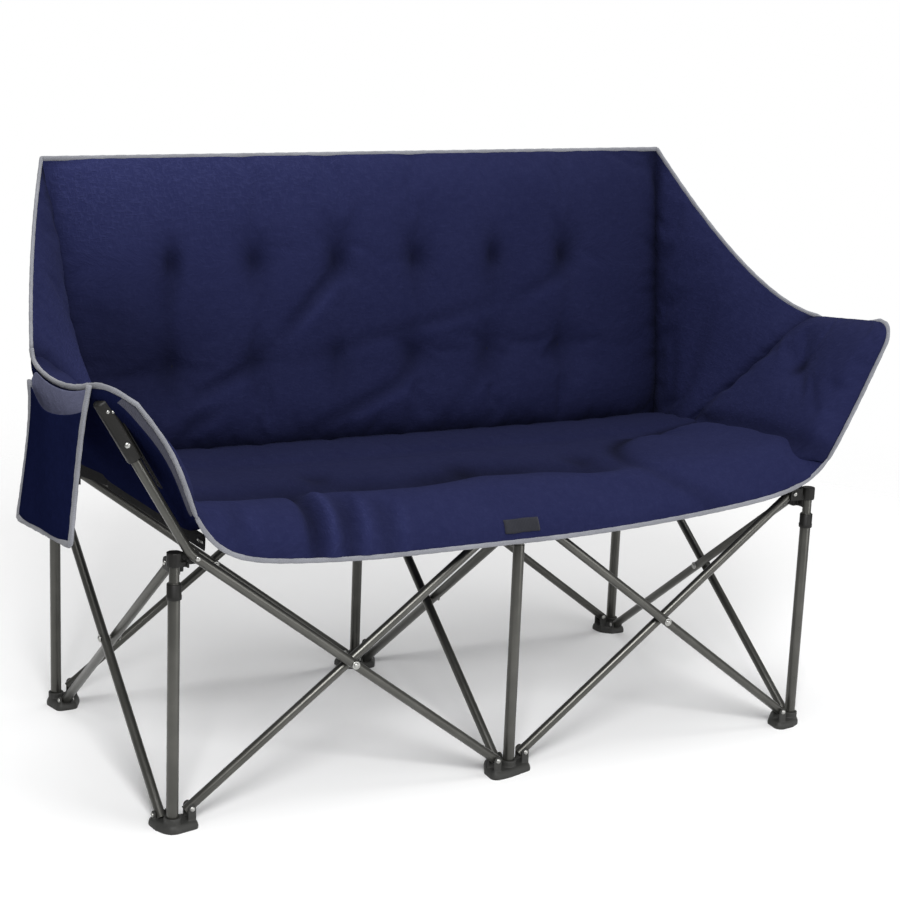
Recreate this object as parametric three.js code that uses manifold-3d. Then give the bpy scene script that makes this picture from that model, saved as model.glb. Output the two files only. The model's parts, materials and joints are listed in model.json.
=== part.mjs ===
// Folding camping loveseat: six posts joined by seven crossed pairs of brace tubes, with a padded bucket cover.
// Millimetres, +Z up, +X to the sitter's left, front towards -Y, standing on z = 0.
import * as THREE from 'three';
import { mergeVertices } from 'three/addons/utils/BufferGeometryUtils.js';
import Module from 'manifold-3d';

const wasm = await Module();
wasm.setup();

// Frame: post grid and tubes
const postPitch = 570; // between post axes, across and front to back
const postDiameter = 18;
const postWall = 1.1;
const braceDiameter = 15;
const braceWall = 1;
const frontPostTop = 380;
const innerTubeBottom = 70; // stays inside its post when the hub has risen

// Frame: pivots
const pinInset = 30; // pivot from the axis of its post
const frontPinHeight = 30; // foot pivots of the front and rear pairs
const sidePinHeight = 16; // foot pivots of the side and middle pairs
const pinRise = 386; // hub pivot above foot pivot
const pinDiameter = 5;
const laneGap = 1; // between the two tubes of a crossed pair
const braceOverhang = 9; // tube past its end pivot

// Fits
const clearance = 0.3; // between pieces that touch
const slideClearance = 0.4; // telescoping tube in its post, each side
const pinClearance = 0.2;

// Moulded feet, hubs and sliders
const footBase = 3.5;
const socketWall = 3.7;
const footSocketHeight = 22;
const cheekThickness = 4;
const cheekMargin = 9; // cheek past its pin
const earRadius = 6.5; // of the ears that hold the pins of a foot
const footWallHeight = 12;
const cheekRootFromPin = 13; // joining wall of a clevis from its pin
const armWallDrop = 5; // top of that wall below the pin, where the arm tube runs on over it
const hubDrop = 12; // underside of a clevis below its pivot, on hubs and sliders
const hubSocketDepth = 18;
const hubSocketRoof = 3;

// Collars, plugs and rivets
const collarHeight = 24;
const collarWall = 2.2;
const collarDrop = 1; // collar's top below the top of its post
const plugFlange = 3;
const plugDepth = 18;
const rivetHeadDiameter = 9;
const rivetHeadHeight = 2;

// Arms
const armSlope = THREE.MathUtils.degToRad(60); // arm tube above the horizontal
const armBendPastPin = 12;
const armBendRadius = 40;
const armLength = 260; // from bend to tip
const sleeveLength = 95;
const sleeveWall = 2.6;
const sleeveCap = 4;

// Padded cover
const rimThickness = 14; // cover at its edges
const backCrown = 24;
const seatCrown = 16;
const wingCrown = 9;
const armCrown = 14;
const tuftDepth = 22;
const tuftRadius = 38;
const tuftColumns = 6;
const tuftPitch = 150;
const tuftRowHeights = [592, 757];
const backTopHeight = 943;
const backTopAbovePost = 18; // cover's top edge above the rear posts
const backTopPastPost = 25; // cover's top corners outside the corner posts
const backFootInset = 5; // ends of the seam of back and seat inside the corner posts
const backFootAhead = 98; // that seam ahead of the rear posts
const backFootHeight = 456;
const seatThickness = 25;
const seatFrontOverhang = 45; // front edge ahead of the front posts
const seatLipThickness = 20;
const seatFrontEdge = { middle: 396, corner: 419 }; // height of the front edge
const seatRearMargin = 25; // rear edge ahead of the rear posts
const rollShoulder = { back: 0.3, up: 0.75 }; // bend of the front roll, as shares of its radius
const armTopMargin = 20; // cover past the tip of the arm tube
const armRearPastPost = 136; // where arm and wing meet, outside the corner posts
const armRearAhead = 338; // and ahead of the rear posts
const armRearHeight = 684;
const wingFootWidth = 20;
const wingEdgeInset = 0.004; // share of the wing's height kept clear at its foot and edge
const wingPullPastPost = 40; // what the sagging wing edge is drawn towards, outside the corner posts
const wingPullAhead = 224; // and ahead of the rear posts
const wingPullHeight = 815;

// Hanging pocket
const pocketFrontFromTube = 2.5; // past the arm sleeve
const pocketLength = 227;
const pocketMouthDrop = 29; // mouth below the point where arm and wing meet
const pocketDepth = 222;
const pocketThickness = 15;
const pocketWall = 2.5;
const cutThrough = 1; // how far a cutting tool runs past what it cuts

// Facets
const tubeSides = 12;
const pinSides = 8;
const socketSides = 12;
const cornerSegments = 3;
const backGrid = [28, 12];
const armGrid = [8, 6];
const wingGrid = [6, 6];
const seatColumns = 14;
const seatFrontShares = [0.2, 0.5, 1]; // rows of the front pad, from its roll to the fold line
const seatRearShares = [0, 1 / 3, 2 / 3, 1]; // rows of the rear pad, from the fold line to the back

// Worked out from the sizes above
const postRadius = postDiameter / 2;
const braceRadius = braceDiameter / 2;
const pinRadius = pinDiameter / 2;
const innerTubeRadius = postRadius - postWall - slideClearance;
const laneOffset = braceRadius + laneGap / 2;
const braceRun = postPitch - 2 * pinInset;
const braceSlope = Math.atan2(pinRise, braceRun);
const braceTipReach = braceOverhang * Math.sin(braceSlope) + braceRadius * Math.cos(braceSlope);
const hubBottom = sidePinHeight + pinRise - hubDrop;
const hubSocketBottom = frontPinHeight + pinRise - hubDrop;
const hubSocketTop = hubSocketBottom + hubSocketDepth;
const hubTop = frontPinHeight + pinRise + braceTipReach;
const footSocketBore = postRadius + clearance;
const seatUnderside = hubTop + clearance;
const rearPostTop = backTopHeight - backTopAbovePost;
const frontY = 0;
const rearY = postPitch;
const backTopHalfWidth = postPitch + backTopPastPost;
const backFoot = { halfWidth: postPitch - backFootInset, y: rearY - backFootAhead, z: backFootHeight };
const armTopRear = { x: postPitch + armRearPastPost, y: rearY - armRearAhead, z: armRearHeight };
const wingEdgePull = { x: postPitch + wingPullPastPost, y: rearY - wingPullAhead, z: wingPullHeight };
const pocketTop = armRearHeight - pocketMouthDrop;

const upright = new THREE.Vector3(0, 0, 1);
const quarterTurn = Math.PI / 2;

// Finishes
const finish = (color, roughness, metalness) => new THREE.MeshStandardMaterial({ color, roughness, metalness });
const tubeFinish = finish(0x65655f, 0.42, 0.75);
const footFinish = finish(0x373735, 0.6, 0);
const hubFinish = finish(0x23211e, 0.5, 0);
const rivetFinish = finish(0xb8b8b8, 0.3, 1);
const coverFinish = finish(0x24244e, 0.9, 0);

const loveseat = new THREE.Group();

function place(name, geometry, material, position, turn = 0) {
  const mesh = new THREE.Mesh(geometry, material);
  mesh.name = name;
  mesh.position.copy(position);
  mesh.rotation.z = turn;
  loveseat.add(mesh);
  return mesh;
}

// Geometry helpers

// One closed shell: shared corners merged and collapsed triangles left out
function weld(geometry) {
  const bare = geometry.clone();
  bare.deleteAttribute('normal');
  bare.deleteAttribute('uv');
  const merged = mergeVertices(bare, 1e-3);
  const corners = merged.index.array;
  const kept = [];
  for (let i = 0; i < corners.length; i += 3) {
    const [a, b, c] = [corners[i], corners[i + 1], corners[i + 2]];
    if (a !== b && b !== c && c !== a) kept.push(a, b, c);
  }
  merged.setIndex(kept);
  merged.computeVertexNormals();
  return merged;
}

function solidOf(geometry) {
  const shell = weld(geometry);
  return new wasm.Manifold(new wasm.Mesh({
    numProp: 3,
    vertProperties: Float32Array.from(shell.attributes.position.array),
    triVerts: Uint32Array.from(shell.index.array),
  }));
}

function geometryOf(solid) {
  const { vertProperties, triVerts } = solid.getMesh();
  const geometry = new THREE.BufferGeometry();
  geometry.setAttribute('position', new THREE.BufferAttribute(vertProperties, 3));
  geometry.setIndex(new THREE.BufferAttribute(triVerts, 1));
  geometry.computeVertexNormals();
  return geometry;
}

const fuse = (geometries) => geometryOf(geometries.map(solidOf).reduce((whole, next) => whole.add(next)));

const cut = (geometry, tools) => geometryOf(
  tools.map(solidOf).reduce((whole, tool) => whole.subtract(tool), solidOf(geometry)),
);

// Ring of the given radii between two heights, open through the middle
function ring(innerRadius, outerRadius, bottom, top, sides) {
  const profile = [
    new THREE.Vector2(innerRadius, bottom),
    new THREE.Vector2(outerRadius, bottom),
    new THREE.Vector2(outerRadius, top),
    new THREE.Vector2(innerRadius, top),
    new THREE.Vector2(innerRadius, bottom),
  ];
  return new THREE.LatheGeometry(profile, sides).rotateX(quarterTurn);
}

// Solid of revolution about +Z from [radius, height] pairs that start and end on the axis
function turned(pairs, sides) {
  const profile = pairs.map(([radius, height]) => new THREE.Vector2(radius, height));
  return new THREE.LatheGeometry(profile, sides).rotateX(quarterTurn);
}

// A route through chosen points, sampled at those points and nowhere else
class PointRoute extends THREE.Curve {
  constructor(points) {
    super();
    this.points = points;
  }

  getPoint(t, target = new THREE.Vector3()) {
    const place = t * (this.points.length - 1);
    const index = Math.min(Math.floor(place), this.points.length - 2);
    return target.lerpVectors(this.points[index], this.points[index + 1], place - index);
  }

  getPointAt(t, target) {
    return this.getPoint(t, target);
  }

  getTangent(t, target = new THREE.Vector3()) {
    const place = Math.round(t * (this.points.length - 1));
    const before = this.points[Math.max(place - 1, 0)];
    const after = this.points[Math.min(place + 1, this.points.length - 1)];
    return target.subVectors(after, before).normalize();
  }

  getTangentAt(t, target) {
    return this.getTangent(t, target);
  }
}

// Hollow tube along a list of points
function tube(points, outerRadius, wall) {
  const section = new THREE.Shape();
  const bore = new THREE.Path();
  for (let i = 0; i < tubeSides; i += 1) {
    const angle = (2 * Math.PI * i) / tubeSides;
    const draw = i === 0 ? 'moveTo' : 'lineTo';
    section[draw](outerRadius * Math.cos(angle), outerRadius * Math.sin(angle));
    bore[draw]((outerRadius - wall) * Math.cos(angle), (outerRadius - wall) * Math.sin(angle));
  }
  section.closePath();
  bore.closePath();
  section.holes.push(bore);
  return new THREE.ExtrudeGeometry(section, {
    steps: points.length - 1,
    extrudePath: new PointRoute(points),
  });
}

// Posts, named by row and column of the grid
const columns = { left: -postPitch, mid: 0, right: postPitch };
const rows = { front: frontY, rear: rearY };
const postAt = (post) => {
  const [row, column] = post.split('_');
  return new THREE.Vector3(columns[column], rows[row], 0);
};
const postNames = Object.keys(rows).flatMap((row) => Object.keys(columns).map((column) => `${row}_${column}`));

// Braces run from the clevis of one foot up to the clevis of the next hub. The lane is the side of the post
// plane that the tube passes on: -1 towards the front or the sitter's right, +1 the other way.
const braces = [
  { name: 'front_left_arm_brace', foot: 'front_mid', hub: 'front_left', lane: -1, arm: true },
  { name: 'front_left_brace', foot: 'front_left', hub: 'front_mid', lane: 1 },
  { name: 'front_right_arm_brace', foot: 'front_mid', hub: 'front_right', lane: 1, arm: true },
  { name: 'front_right_brace', foot: 'front_right', hub: 'front_mid', lane: -1 },
  { name: 'side_left_outer_brace', foot: 'front_left', hub: 'rear_left', lane: -1 },
  { name: 'side_left_inner_brace', foot: 'rear_left', hub: 'front_left', lane: 1 },
  { name: 'side_right_outer_brace', foot: 'front_right', hub: 'rear_right', lane: 1 },
  { name: 'side_right_inner_brace', foot: 'rear_right', hub: 'front_right', lane: -1 },
  { name: 'rear_left_back_brace', foot: 'rear_left', hub: 'rear_mid', lane: 1 },
  { name: 'rear_left_front_brace', foot: 'rear_mid', hub: 'rear_left', lane: -1 },
  { name: 'rear_right_front_brace', foot: 'rear_right', hub: 'rear_mid', lane: -1 },
  { name: 'rear_right_back_brace', foot: 'rear_mid', hub: 'rear_right', lane: 1 },
  { name: 'middle_left_brace', foot: 'front_mid', hub: 'rear_mid', lane: -1 },
  { name: 'middle_right_brace', foot: 'rear_mid', hub: 'front_mid', lane: 1 },
];

// Where a brace starts, the way it runs and how high its pins are
function braceLine({ foot, hub, lane }) {
  const from = postAt(foot);
  const way = postAt(hub).sub(from).normalize();
  const across = Math.abs(way.x) > Math.abs(way.y);
  const aside = across ? new THREE.Vector3(0, 1, 0) : new THREE.Vector3(1, 0, 0);
  const footPinHeight = across ? frontPinHeight : sidePinHeight;
  const turn = Math.atan2(way.y, way.x);
  const laneShift = aside.multiplyScalar(lane * laneOffset);
  const footPin = from.clone().addScaledVector(way, pinInset).add(laneShift);
  footPin.z = footPinHeight;
  return { footPin, way, turn, laneShift, footPinHeight };
}

// Lane of a brace in the frame of a clevis that faces the given way
const laneFacing = (way, laneShift) => laneShift.dot(new THREE.Vector3(-way.y, way.x, 0));

const footOf = (post) => `foot_${post}`;
const hubOf = (post) => (post.startsWith('front') ? `hub_${post}` : `slider_${post}`);

// The clevises that a foot or hub needs: which way they face, their lane and their pin's height
const clevises = new Map();
const addClevis = (piece, entry) => clevises.set(piece, [...(clevises.get(piece) ?? []), entry]);
braces.forEach((brace) => {
  const { way, laneShift, footPinHeight } = braceLine(brace);
  const back = way.clone().negate();
  addClevis(footOf(brace.foot), { way, lane: laneFacing(way, laneShift), pinHeight: footPinHeight });
  addClevis(hubOf(brace.hub), {
    way: back,
    lane: laneFacing(back, laneShift),
    pinHeight: footPinHeight + pinRise,
    open: brace.arm,
  });
});

// Side of a hub's or slider's cheek: a plate from the wall to past the pin
function cheekProfile(root, bottom, pinHeight) {
  const profile = new THREE.Shape();
  profile.moveTo(root, bottom);
  profile.lineTo(pinInset + cheekMargin, bottom);
  profile.absarc(pinInset, pinHeight, cheekMargin, 0, quarterTurn, false);
  profile.lineTo(root, pinHeight + cheekMargin);
  profile.closePath();
  return profile;
}

// Side of a foot's cheek: an ear round the pin that stands on the floor plate
function earProfile(pinHeight) {
  const profile = new THREE.Shape();
  profile.moveTo(pinInset - earRadius, 0);
  profile.lineTo(pinInset + earRadius, 0);
  profile.absarc(pinInset, pinHeight, earRadius, 0, 2 * quarterTurn, false);
  profile.closePath();
  return profile;
}

// Two cheeks, the wall that joins them, a floor under them and the pin through them, facing +X. An open clevis
// has no cheek on the far side of its tube.
function clevis({ lane, pinHeight, bottom, wallTop, floor, open }) {
  const halfSlot = braceRadius + clearance;
  const farSide = open ? Math.sign(lane) : 0;
  const root = pinInset - cheekRootFromPin - socketWall;
  const profile = floor > 0 ? earProfile(pinHeight) : cheekProfile(root, bottom, pinHeight);
  const settings = { depth: cheekThickness, bevelEnabled: false, curveSegments: cornerSegments };
  const cheek = (side) => new THREE.ExtrudeGeometry(profile, settings)
    .rotateX(quarterTurn)
    .translate(0, lane + side * (halfSlot + cheekThickness / 2) + cheekThickness / 2, 0);
  const cheeks = [-1, 1].filter((side) => side !== farSide).map(cheek);
  const width = 2 * (halfSlot + cheekThickness);
  const wallWidth = width - Math.abs(farSide) * cheekThickness;
  const wallDepth = pinInset - cheekRootFromPin - root;
  const wall = new THREE.BoxGeometry(wallDepth, wallWidth, wallTop - bottom)
    .translate(root + wallDepth / 2, lane - farSide * cheekThickness / 2, (wallTop + bottom) / 2);
  const pin = new THREE.CylinderGeometry(pinRadius, pinRadius, width - cheekThickness, pinSides)
    .translate(pinInset, lane, pinHeight);
  const pieces = [...cheeks, wall, pin];
  if (floor > 0) {
    const reach = pinInset + earRadius;
    const plate = new THREE.BoxGeometry(reach - root, width, floor);
    pieces.push(plate.translate((reach + root) / 2, lane, floor / 2));
  }
  return fuse(pieces);
}

// Block of material between the socket and a clevis, so that the moulding is one body
function web(radius, bottom, top, reach, lane) {
  const depth = top - bottom;
  return new THREE.BoxGeometry(reach, radius, depth).translate(reach / 2, lane / 2, (bottom + top) / 2);
}

const clevisTurn = ({ way }) => Math.atan2(way.y, way.x);

function mouldedPiece(core, bore, radius, list, shape) {
  const arms = list.flatMap((entry) => {
    const bottom = shape.bottom(entry);
    const wallTop = shape.wallTop(entry);
    const arm = clevis({ ...entry, bottom, wallTop, floor: shape.floor });
    const link = web(radius, bottom, Math.min(wallTop, shape.linkTop), pinInset - cheekRootFromPin, entry.lane);
    return [arm, link].map((geometry) => geometry.rotateZ(clevisTurn(entry)));
  });
  return cut(fuse([core, ...arms]), [bore]);
}

// Feet: socket on a base plate, with the clevises at floor level
function foot(list) {
  const radius = footSocketBore + socketWall;
  const core = turned([[0, 0], [radius, 0], [radius, footSocketHeight], [0, footSocketHeight]], socketSides);
  const bore = turned(
    [[0, footBase], [footSocketBore, footBase], [footSocketBore, footSocketHeight + cutThrough],
      [0, footSocketHeight + cutThrough]],
    socketSides,
  );
  const bottom = () => 0;
  const wallTop = () => footWallHeight;
  const linkTop = footSocketHeight;
  return mouldedPiece(core, bore, radius, list, { bottom, wallTop, linkTop, floor: footBase });
}

// Front hubs: blind socket over the telescoping tube, with clevises for the braces
function hub(list) {
  const boreRadius = innerTubeRadius + clearance;
  const radius = boreRadius + socketWall;
  const roof = hubSocketTop + hubSocketRoof;
  const core = turned(
    [[0, hubSocketBottom], [radius, hubSocketBottom], [radius, roof], [0, roof]],
    socketSides,
  );
  const bore = turned(
    [[0, hubBottom - cutThrough], [boreRadius, hubBottom - cutThrough], [boreRadius, hubSocketTop],
      [0, hubSocketTop]],
    socketSides,
  );
  const bottom = ({ pinHeight }) => pinHeight - hubDrop;
  const wallTop = ({ open, pinHeight }) => (open ? pinHeight - armWallDrop : pinHeight + cheekMargin);
  return mouldedPiece(core, bore, radius, list, { bottom, wallTop, linkTop: roof, floor: 0 });
}

// Rear sliders: open ring round the post, with clevises for the braces
function slider(list) {
  const boreRadius = postRadius + clearance;
  const radius = boreRadius + socketWall;
  const core = turned([[0, hubBottom], [radius, hubBottom], [radius, hubTop], [0, hubTop]], socketSides);
  const bore = turned(
    [[0, hubBottom - cutThrough], [boreRadius, hubBottom - cutThrough], [boreRadius, hubTop + cutThrough],
      [0, hubTop + cutThrough]],
    socketSides,
  );
  const bottom = () => hubBottom;
  const wallTop = ({ pinHeight }) => pinHeight;
  return mouldedPiece(core, bore, radius, list, { bottom, wallTop, linkTop: hubTop, floor: 0 });
}

postNames.forEach((post) => {
  const isFront = post.startsWith('front');
  const axis = postAt(post);
  place(footOf(post), foot(clevises.get(footOf(post))), footFinish, axis);
  const moulding = (isFront ? hub : slider)(clevises.get(hubOf(post)));
  place(hubOf(post), moulding, hubFinish, axis);
});

// Posts, telescoping tubes, collars and plugs
const straight = (bottom, top) => [new THREE.Vector3(0, 0, bottom), new THREE.Vector3(0, 0, top)];
const postBottom = footBase + clearance;
const innerTubeTop = hubSocketTop - clearance;

postNames.filter((post) => post.startsWith('front')).forEach((post) => {
  const axis = postAt(post);
  place(`post_${post}`, weld(tube(straight(postBottom, frontPostTop), postRadius, postWall)), tubeFinish, axis);
  const inner = tube(straight(innerTubeBottom, innerTubeTop), innerTubeRadius, braceWall);
  place(`inner_tube_${post}`, weld(inner), tubeFinish, axis);
  if (post === 'front_mid') return;
  const top = frontPostTop - collarDrop;
  const collarBore = postRadius + clearance;
  const collar = ring(collarBore, collarBore + collarWall, top - collarHeight, top, socketSides);
  place(`collar_${post}`, weld(collar), hubFinish, axis);
});

postNames.filter((post) => post.startsWith('rear')).forEach((post) => {
  const axis = postAt(post);
  place(`post_${post}`, weld(tube(straight(postBottom, rearPostTop), postRadius, postWall)), tubeFinish, axis);
  const stem = postRadius * Math.cos(Math.PI / tubeSides) - postWall - clearance;
  const seat = rearPostTop + clearance;
  const plug = turned(
    [[0, seat - plugDepth], [stem, seat - plugDepth], [stem, seat], [postRadius, seat],
      [postRadius, seat + plugFlange], [0, seat + plugFlange]],
    tubeSides,
  );
  place(`plug_${post}`, weld(plug), hubFinish, axis);
});

// Braces, drawn from the foot pin along +X and up, with holes for the pins and the crossing rivet
const slopeDirection = (slope) => new THREE.Vector3(Math.cos(slope), 0, Math.sin(slope));
const hubPinLocal = new THREE.Vector3(braceRun, 0, pinRise);
const braceWay = slopeDirection(braceSlope);
const armWay = slopeDirection(armSlope);
const armBend = hubPinLocal.clone().addScaledVector(braceWay, armBendPastPin);
const armTip = armBend.clone().addScaledVector(armWay, armLength);
const crossing = hubPinLocal.clone().multiplyScalar(0.5);

function braceGeometry(arm) {
  const start = braceWay.clone().multiplyScalar(-braceOverhang);
  const end = hubPinLocal.clone().addScaledVector(braceWay, braceOverhang);
  const easing = armBendRadius * Math.tan((armSlope - braceSlope) / 2);
  const bend = [
    armBend.clone().addScaledVector(braceWay, -easing),
    armBend.clone().addScaledVector(armWay, easing),
  ];
  const points = arm ? [start, ...bend, armTip] : [start, end];
  const hole = (pinRadius + pinClearance) / Math.cos(Math.PI / pinSides); // its flats clear a pin that turns
  const drills = [new THREE.Vector3(), crossing, hubPinLocal].map(
    ({ x, z }) => new THREE.CylinderGeometry(hole, hole, 2 * braceDiameter, pinSides).translate(x, 0, z),
  );
  return cut(tube(points, braceRadius, braceWall), drills);
}

const plainBrace = braceGeometry(false);
const armBrace = braceGeometry(true);

braces.forEach((brace) => {
  const { footPin, turn } = braceLine(brace);
  place(brace.name, brace.arm ? armBrace : plainBrace, tubeFinish, footPin, turn);
});

// Rivets through the crossed pairs
const rivetReach = laneOffset + braceRadius + clearance;
const headRadius = rivetHeadDiameter / 2;
const rivetGeometry = weld(turned(
  [[0, -rivetReach - rivetHeadHeight], [headRadius, -rivetReach - rivetHeadHeight], [headRadius, -rivetReach],
    [pinRadius, -rivetReach], [pinRadius, rivetReach], [headRadius, rivetReach],
    [headRadius, rivetReach + rivetHeadHeight], [0, rivetReach + rivetHeadHeight]],
  pinSides,
).rotateX(quarterTurn));
const crossedPairs = {
  front_left: 'front_left_arm_brace',
  front_right: 'front_right_arm_brace',
  rear_left: 'rear_left_back_brace',
  rear_right: 'rear_right_back_brace',
  side_left: 'side_left_outer_brace',
  side_right: 'side_right_outer_brace',
  middle: 'middle_left_brace',
};
Object.entries(crossedPairs).forEach(([pair, name]) => {
  const brace = braces.find((entry) => entry.name === name);
  const { footPin, turn, laneShift } = braceLine(brace);
  const centre = crossing.clone().applyAxisAngle(upright, turn).add(footPin).sub(laneShift);
  place(`rivet_${pair}`, rivetGeometry, rivetFinish, centre, turn);
});

// Plastic sleeves over the ends of the arm tubes, open at the lower end
const sleeveBore = braceRadius + clearance;
const sleeveRadius = sleeveBore + sleeveWall;
const sleeveEnd = clearance + sleeveCap;
const sleeveGeometry = weld(turned(
  [[0, clearance], [sleeveBore, clearance], [sleeveBore, -sleeveLength], [sleeveRadius, -sleeveLength],
    [sleeveRadius, sleeveEnd - sleeveCap / 2], [sleeveRadius - sleeveCap / 2, sleeveEnd], [0, sleeveEnd]],
  tubeSides,
).rotateY(quarterTurn - armSlope).translate(armTip.x, 0, armTip.z));
braces.filter(({ arm }) => arm).forEach((brace) => {
  const { footPin, turn } = braceLine(brace);
  const side = brace.hub.split('_')[1];
  place(`arm_sleeve_${side}`, sleeveGeometry, hubFinish, footPin, turn);
});

// Padded cover. A pad is a closed grid with an inner face towards the sitter and an outer face behind it.
// faceAt gives the place of a point from u and v, both 0 to 1, and whether it is on the inner face.
function pad(columnsOfGrid, rowsOfGrid, faceAt) {
  const grid = new THREE.BoxGeometry(1, 1, 1, columnsOfGrid, rowsOfGrid, 1);
  const points = grid.attributes.position;
  for (let i = 0; i < points.count; i += 1) {
    const spot = faceAt(points.getX(i) + 0.5, points.getY(i) + 0.5, points.getZ(i) > 0);
    points.setXYZ(i, spot.x, spot.y, spot.z);
  }
  return weld(grid);
}

const blend = (from, to, share) => new THREE.Vector3().lerpVectors(from, to, share);
const crownShape = (u, v) => (1 - (2 * u - 1) ** 4) * (1 - (2 * v - 1) ** 4);
const inward = (share, margin) => margin + share * (1 - 2 * margin);

// Back: flat behind, where it hangs against the rear posts, crowned and tufted in front
const backFootPoint = new THREE.Vector3(0, backFoot.y, backFoot.z);
const postFace = rearY - postRadius - clearance;
const plugTop = rearPostTop + clearance + plugFlange;
const backLean = Math.atan2(postFace - rimThickness - backFoot.y, plugTop - backFoot.z);
const backUp = new THREE.Vector3(0, Math.sin(backLean), Math.cos(backLean));
const backInward = new THREE.Vector3(0, -Math.cos(backLean), Math.sin(backLean));
const backHeight = (backTopHeight - backFoot.z) / Math.cos(backLean);
const backTopPoint = backFootPoint.clone().addScaledVector(backUp, backHeight);

function tuftDip(x, z) {
  let dip = 0;
  for (let column = 0; column < tuftColumns; column += 1) {
    const tuftX = (column - (tuftColumns - 1) / 2) * tuftPitch;
    tuftRowHeights.forEach((tuftZ) => {
      dip = Math.max(dip, Math.exp(-((x - tuftX) ** 2 + (z - tuftZ) ** 2) / tuftRadius ** 2));
    });
  }
  return dip;
}

const backPanel = pad(...backGrid, (u, v, inner) => {
  const spot = blend(backFootPoint, backTopPoint, v);
  const halfWidth = THREE.MathUtils.lerp(backFoot.halfWidth, backTopHalfWidth, v) - clearance;
  spot.x = (2 * u - 1) * halfWidth;
  if (!inner) return spot.addScaledVector(backInward, -rimThickness);
  const swell = backCrown * crownShape(u, v);
  return spot.addScaledVector(backInward, swell - tuftDepth * tuftDip(spot.x, spot.z) * crownShape(u, v));
});
place('back_panel', backPanel, coverFinish, new THREE.Vector3());

// Arms: a pad that lies on the arm tube's sleeve, from the front edge back to the fold with the wing
const armNormal = new THREE.Vector3(-Math.sin(armSlope), 0, Math.cos(armSlope)); // inwards on the right arm
const armWorld = ({ x, z }) => new THREE.Vector3(x + pinInset, frontY - seatFrontOverhang, z + frontPinHeight);
const armTopBack = new THREE.Vector3(armTopRear.x, armTopRear.y, armTopRear.z);
const wingFootBack = new THREE.Vector3(backFoot.halfWidth - rimThickness, backFoot.y, backFoot.z);
const wingFootFront = wingFootBack.clone().add(new THREE.Vector3(clearance, -wingFootWidth, clearance));
// The pad twists towards its rear edge, so its front edge stands off far enough to clear the sleeve all along
const sleeveFootShare = (armLength - sleeveLength) / (armLength + armTopMargin);
const sleeveBackShare = (seatFrontOverhang + laneOffset + sleeveRadius) / (seatFrontOverhang + armTopRear.y);
const standOff = (spot) => spot.clone().sub(armWorld(armTip)).dot(armNormal);
const rearStandOff = Math.min(
  standOff(armTopBack),
  standOff(blend(wingFootFront, armTopBack, sleeveFootShare)),
);
const sleeveStandOff = sleeveRadius + clearance + rimThickness;
const armStandOff = (sleeveStandOff - sleeveBackShare * rearStandOff) / (1 - sleeveBackShare);
const armFootFront = armWorld(armBend).addScaledVector(armNormal, armStandOff);
const armTopFront = armWorld(armTip)
  .addScaledVector(armNormal, armStandOff)
  .addScaledVector(armWay, armTopMargin);

// Mirrors a right-hand point to the named side; u runs the other way on the left, so faces still point out
const sides = { left: -1, right: 1 };
const mirrored = (spot, side) => spot.multiply(new THREE.Vector3(sides[side], 1, 1));
const handed = (u, side) => (side === 'right' ? u : 1 - u);

const armRise = (share) => [blend(armFootFront, armTopFront, share), blend(wingFootFront, armTopBack, share)];
const armPad = (side) => pad(...armGrid, (along, v, inner) => {
  const u = inward(handed(along, side), clearance / armTopRear.y);
  const [front, back] = armRise(v);
  const spot = blend(front, back, 1 - u);
  const swell = inner ? armCrown * crownShape(u, v) : -rimThickness;
  return mirrored(spot.addScaledVector(armNormal, swell), side);
});

// Wings: between the back, the arm and the sagging top edge
const backTopCorner = new THREE.Vector3(backTopHalfWidth, backTopPoint.y, backTopPoint.z);
const backSideFoot = new THREE.Vector3(backFoot.halfWidth, backFoot.y, backFoot.z);
const wingEdge = new THREE.QuadraticBezierCurve3(
  backTopCorner,
  new THREE.Vector3(wingEdgePull.x, wingEdgePull.y, wingEdgePull.z),
  armTopBack,
);
const wingInward = new THREE.Vector3()
  .crossVectors(armTopBack.clone().sub(backSideFoot), backTopCorner.clone().sub(backSideFoot))
  .normalize();
const wingPad = (side) => pad(...wingGrid, (along, v, inner) => {
  const u = inward(handed(along, side), wingEdgeInset);
  const spot = blend(blend(backSideFoot, wingFootFront, u), wingEdge.getPoint(u), inward(v, wingEdgeInset));
  const swell = inner ? wingCrown * crownShape(u, v) : -rimThickness;
  return mirrored(spot.addScaledVector(wingInward, swell), side);
});

Object.keys(sides).forEach((side) => {
  place(`arm_panel_${side}`, armPad(side), coverFinish, new THREE.Vector3());
  place(`wing_${side}`, wingPad(side), coverFinish, new THREE.Vector3());
});

// Seat: two pads that meet on the fold line half way back; the front one rolls over in front of the hubs
const seatFoldY = (frontY + rearY) / 2;
const seatRearY = rearY - seatRearMargin;
const seatTop = seatUnderside + seatThickness;
const seatFrontY = frontY - seatFrontOverhang;
const seatHalfWidth = (y) => THREE.MathUtils.mapLinear(
  y,
  frontY,
  wingFootFront.y,
  armFootFront.x - clearance,
  wingFootFront.x - clearance,
) - 2 * clearance;

// Lower front edge sags from its corners to the middle
const { middle: edgeMiddle, corner: edgeCorner } = seatFrontEdge;
const frontEdgeHeight = (across) => THREE.MathUtils.lerp(edgeMiddle, edgeCorner, across ** 2);

// The seat swells between its front roll and the seam with the back
const rollRadius = seatTop - seatUnderside;
const rollEndY = seatFrontY + rollRadius;
function seatSwell(across, y) {
  const share = THREE.MathUtils.clamp((y - rollEndY) / (backFoot.y - rollEndY), 0, 1);
  return seatCrown * (1 - across ** 4) * (1 - (2 * share - 1) ** 4);
}

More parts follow.
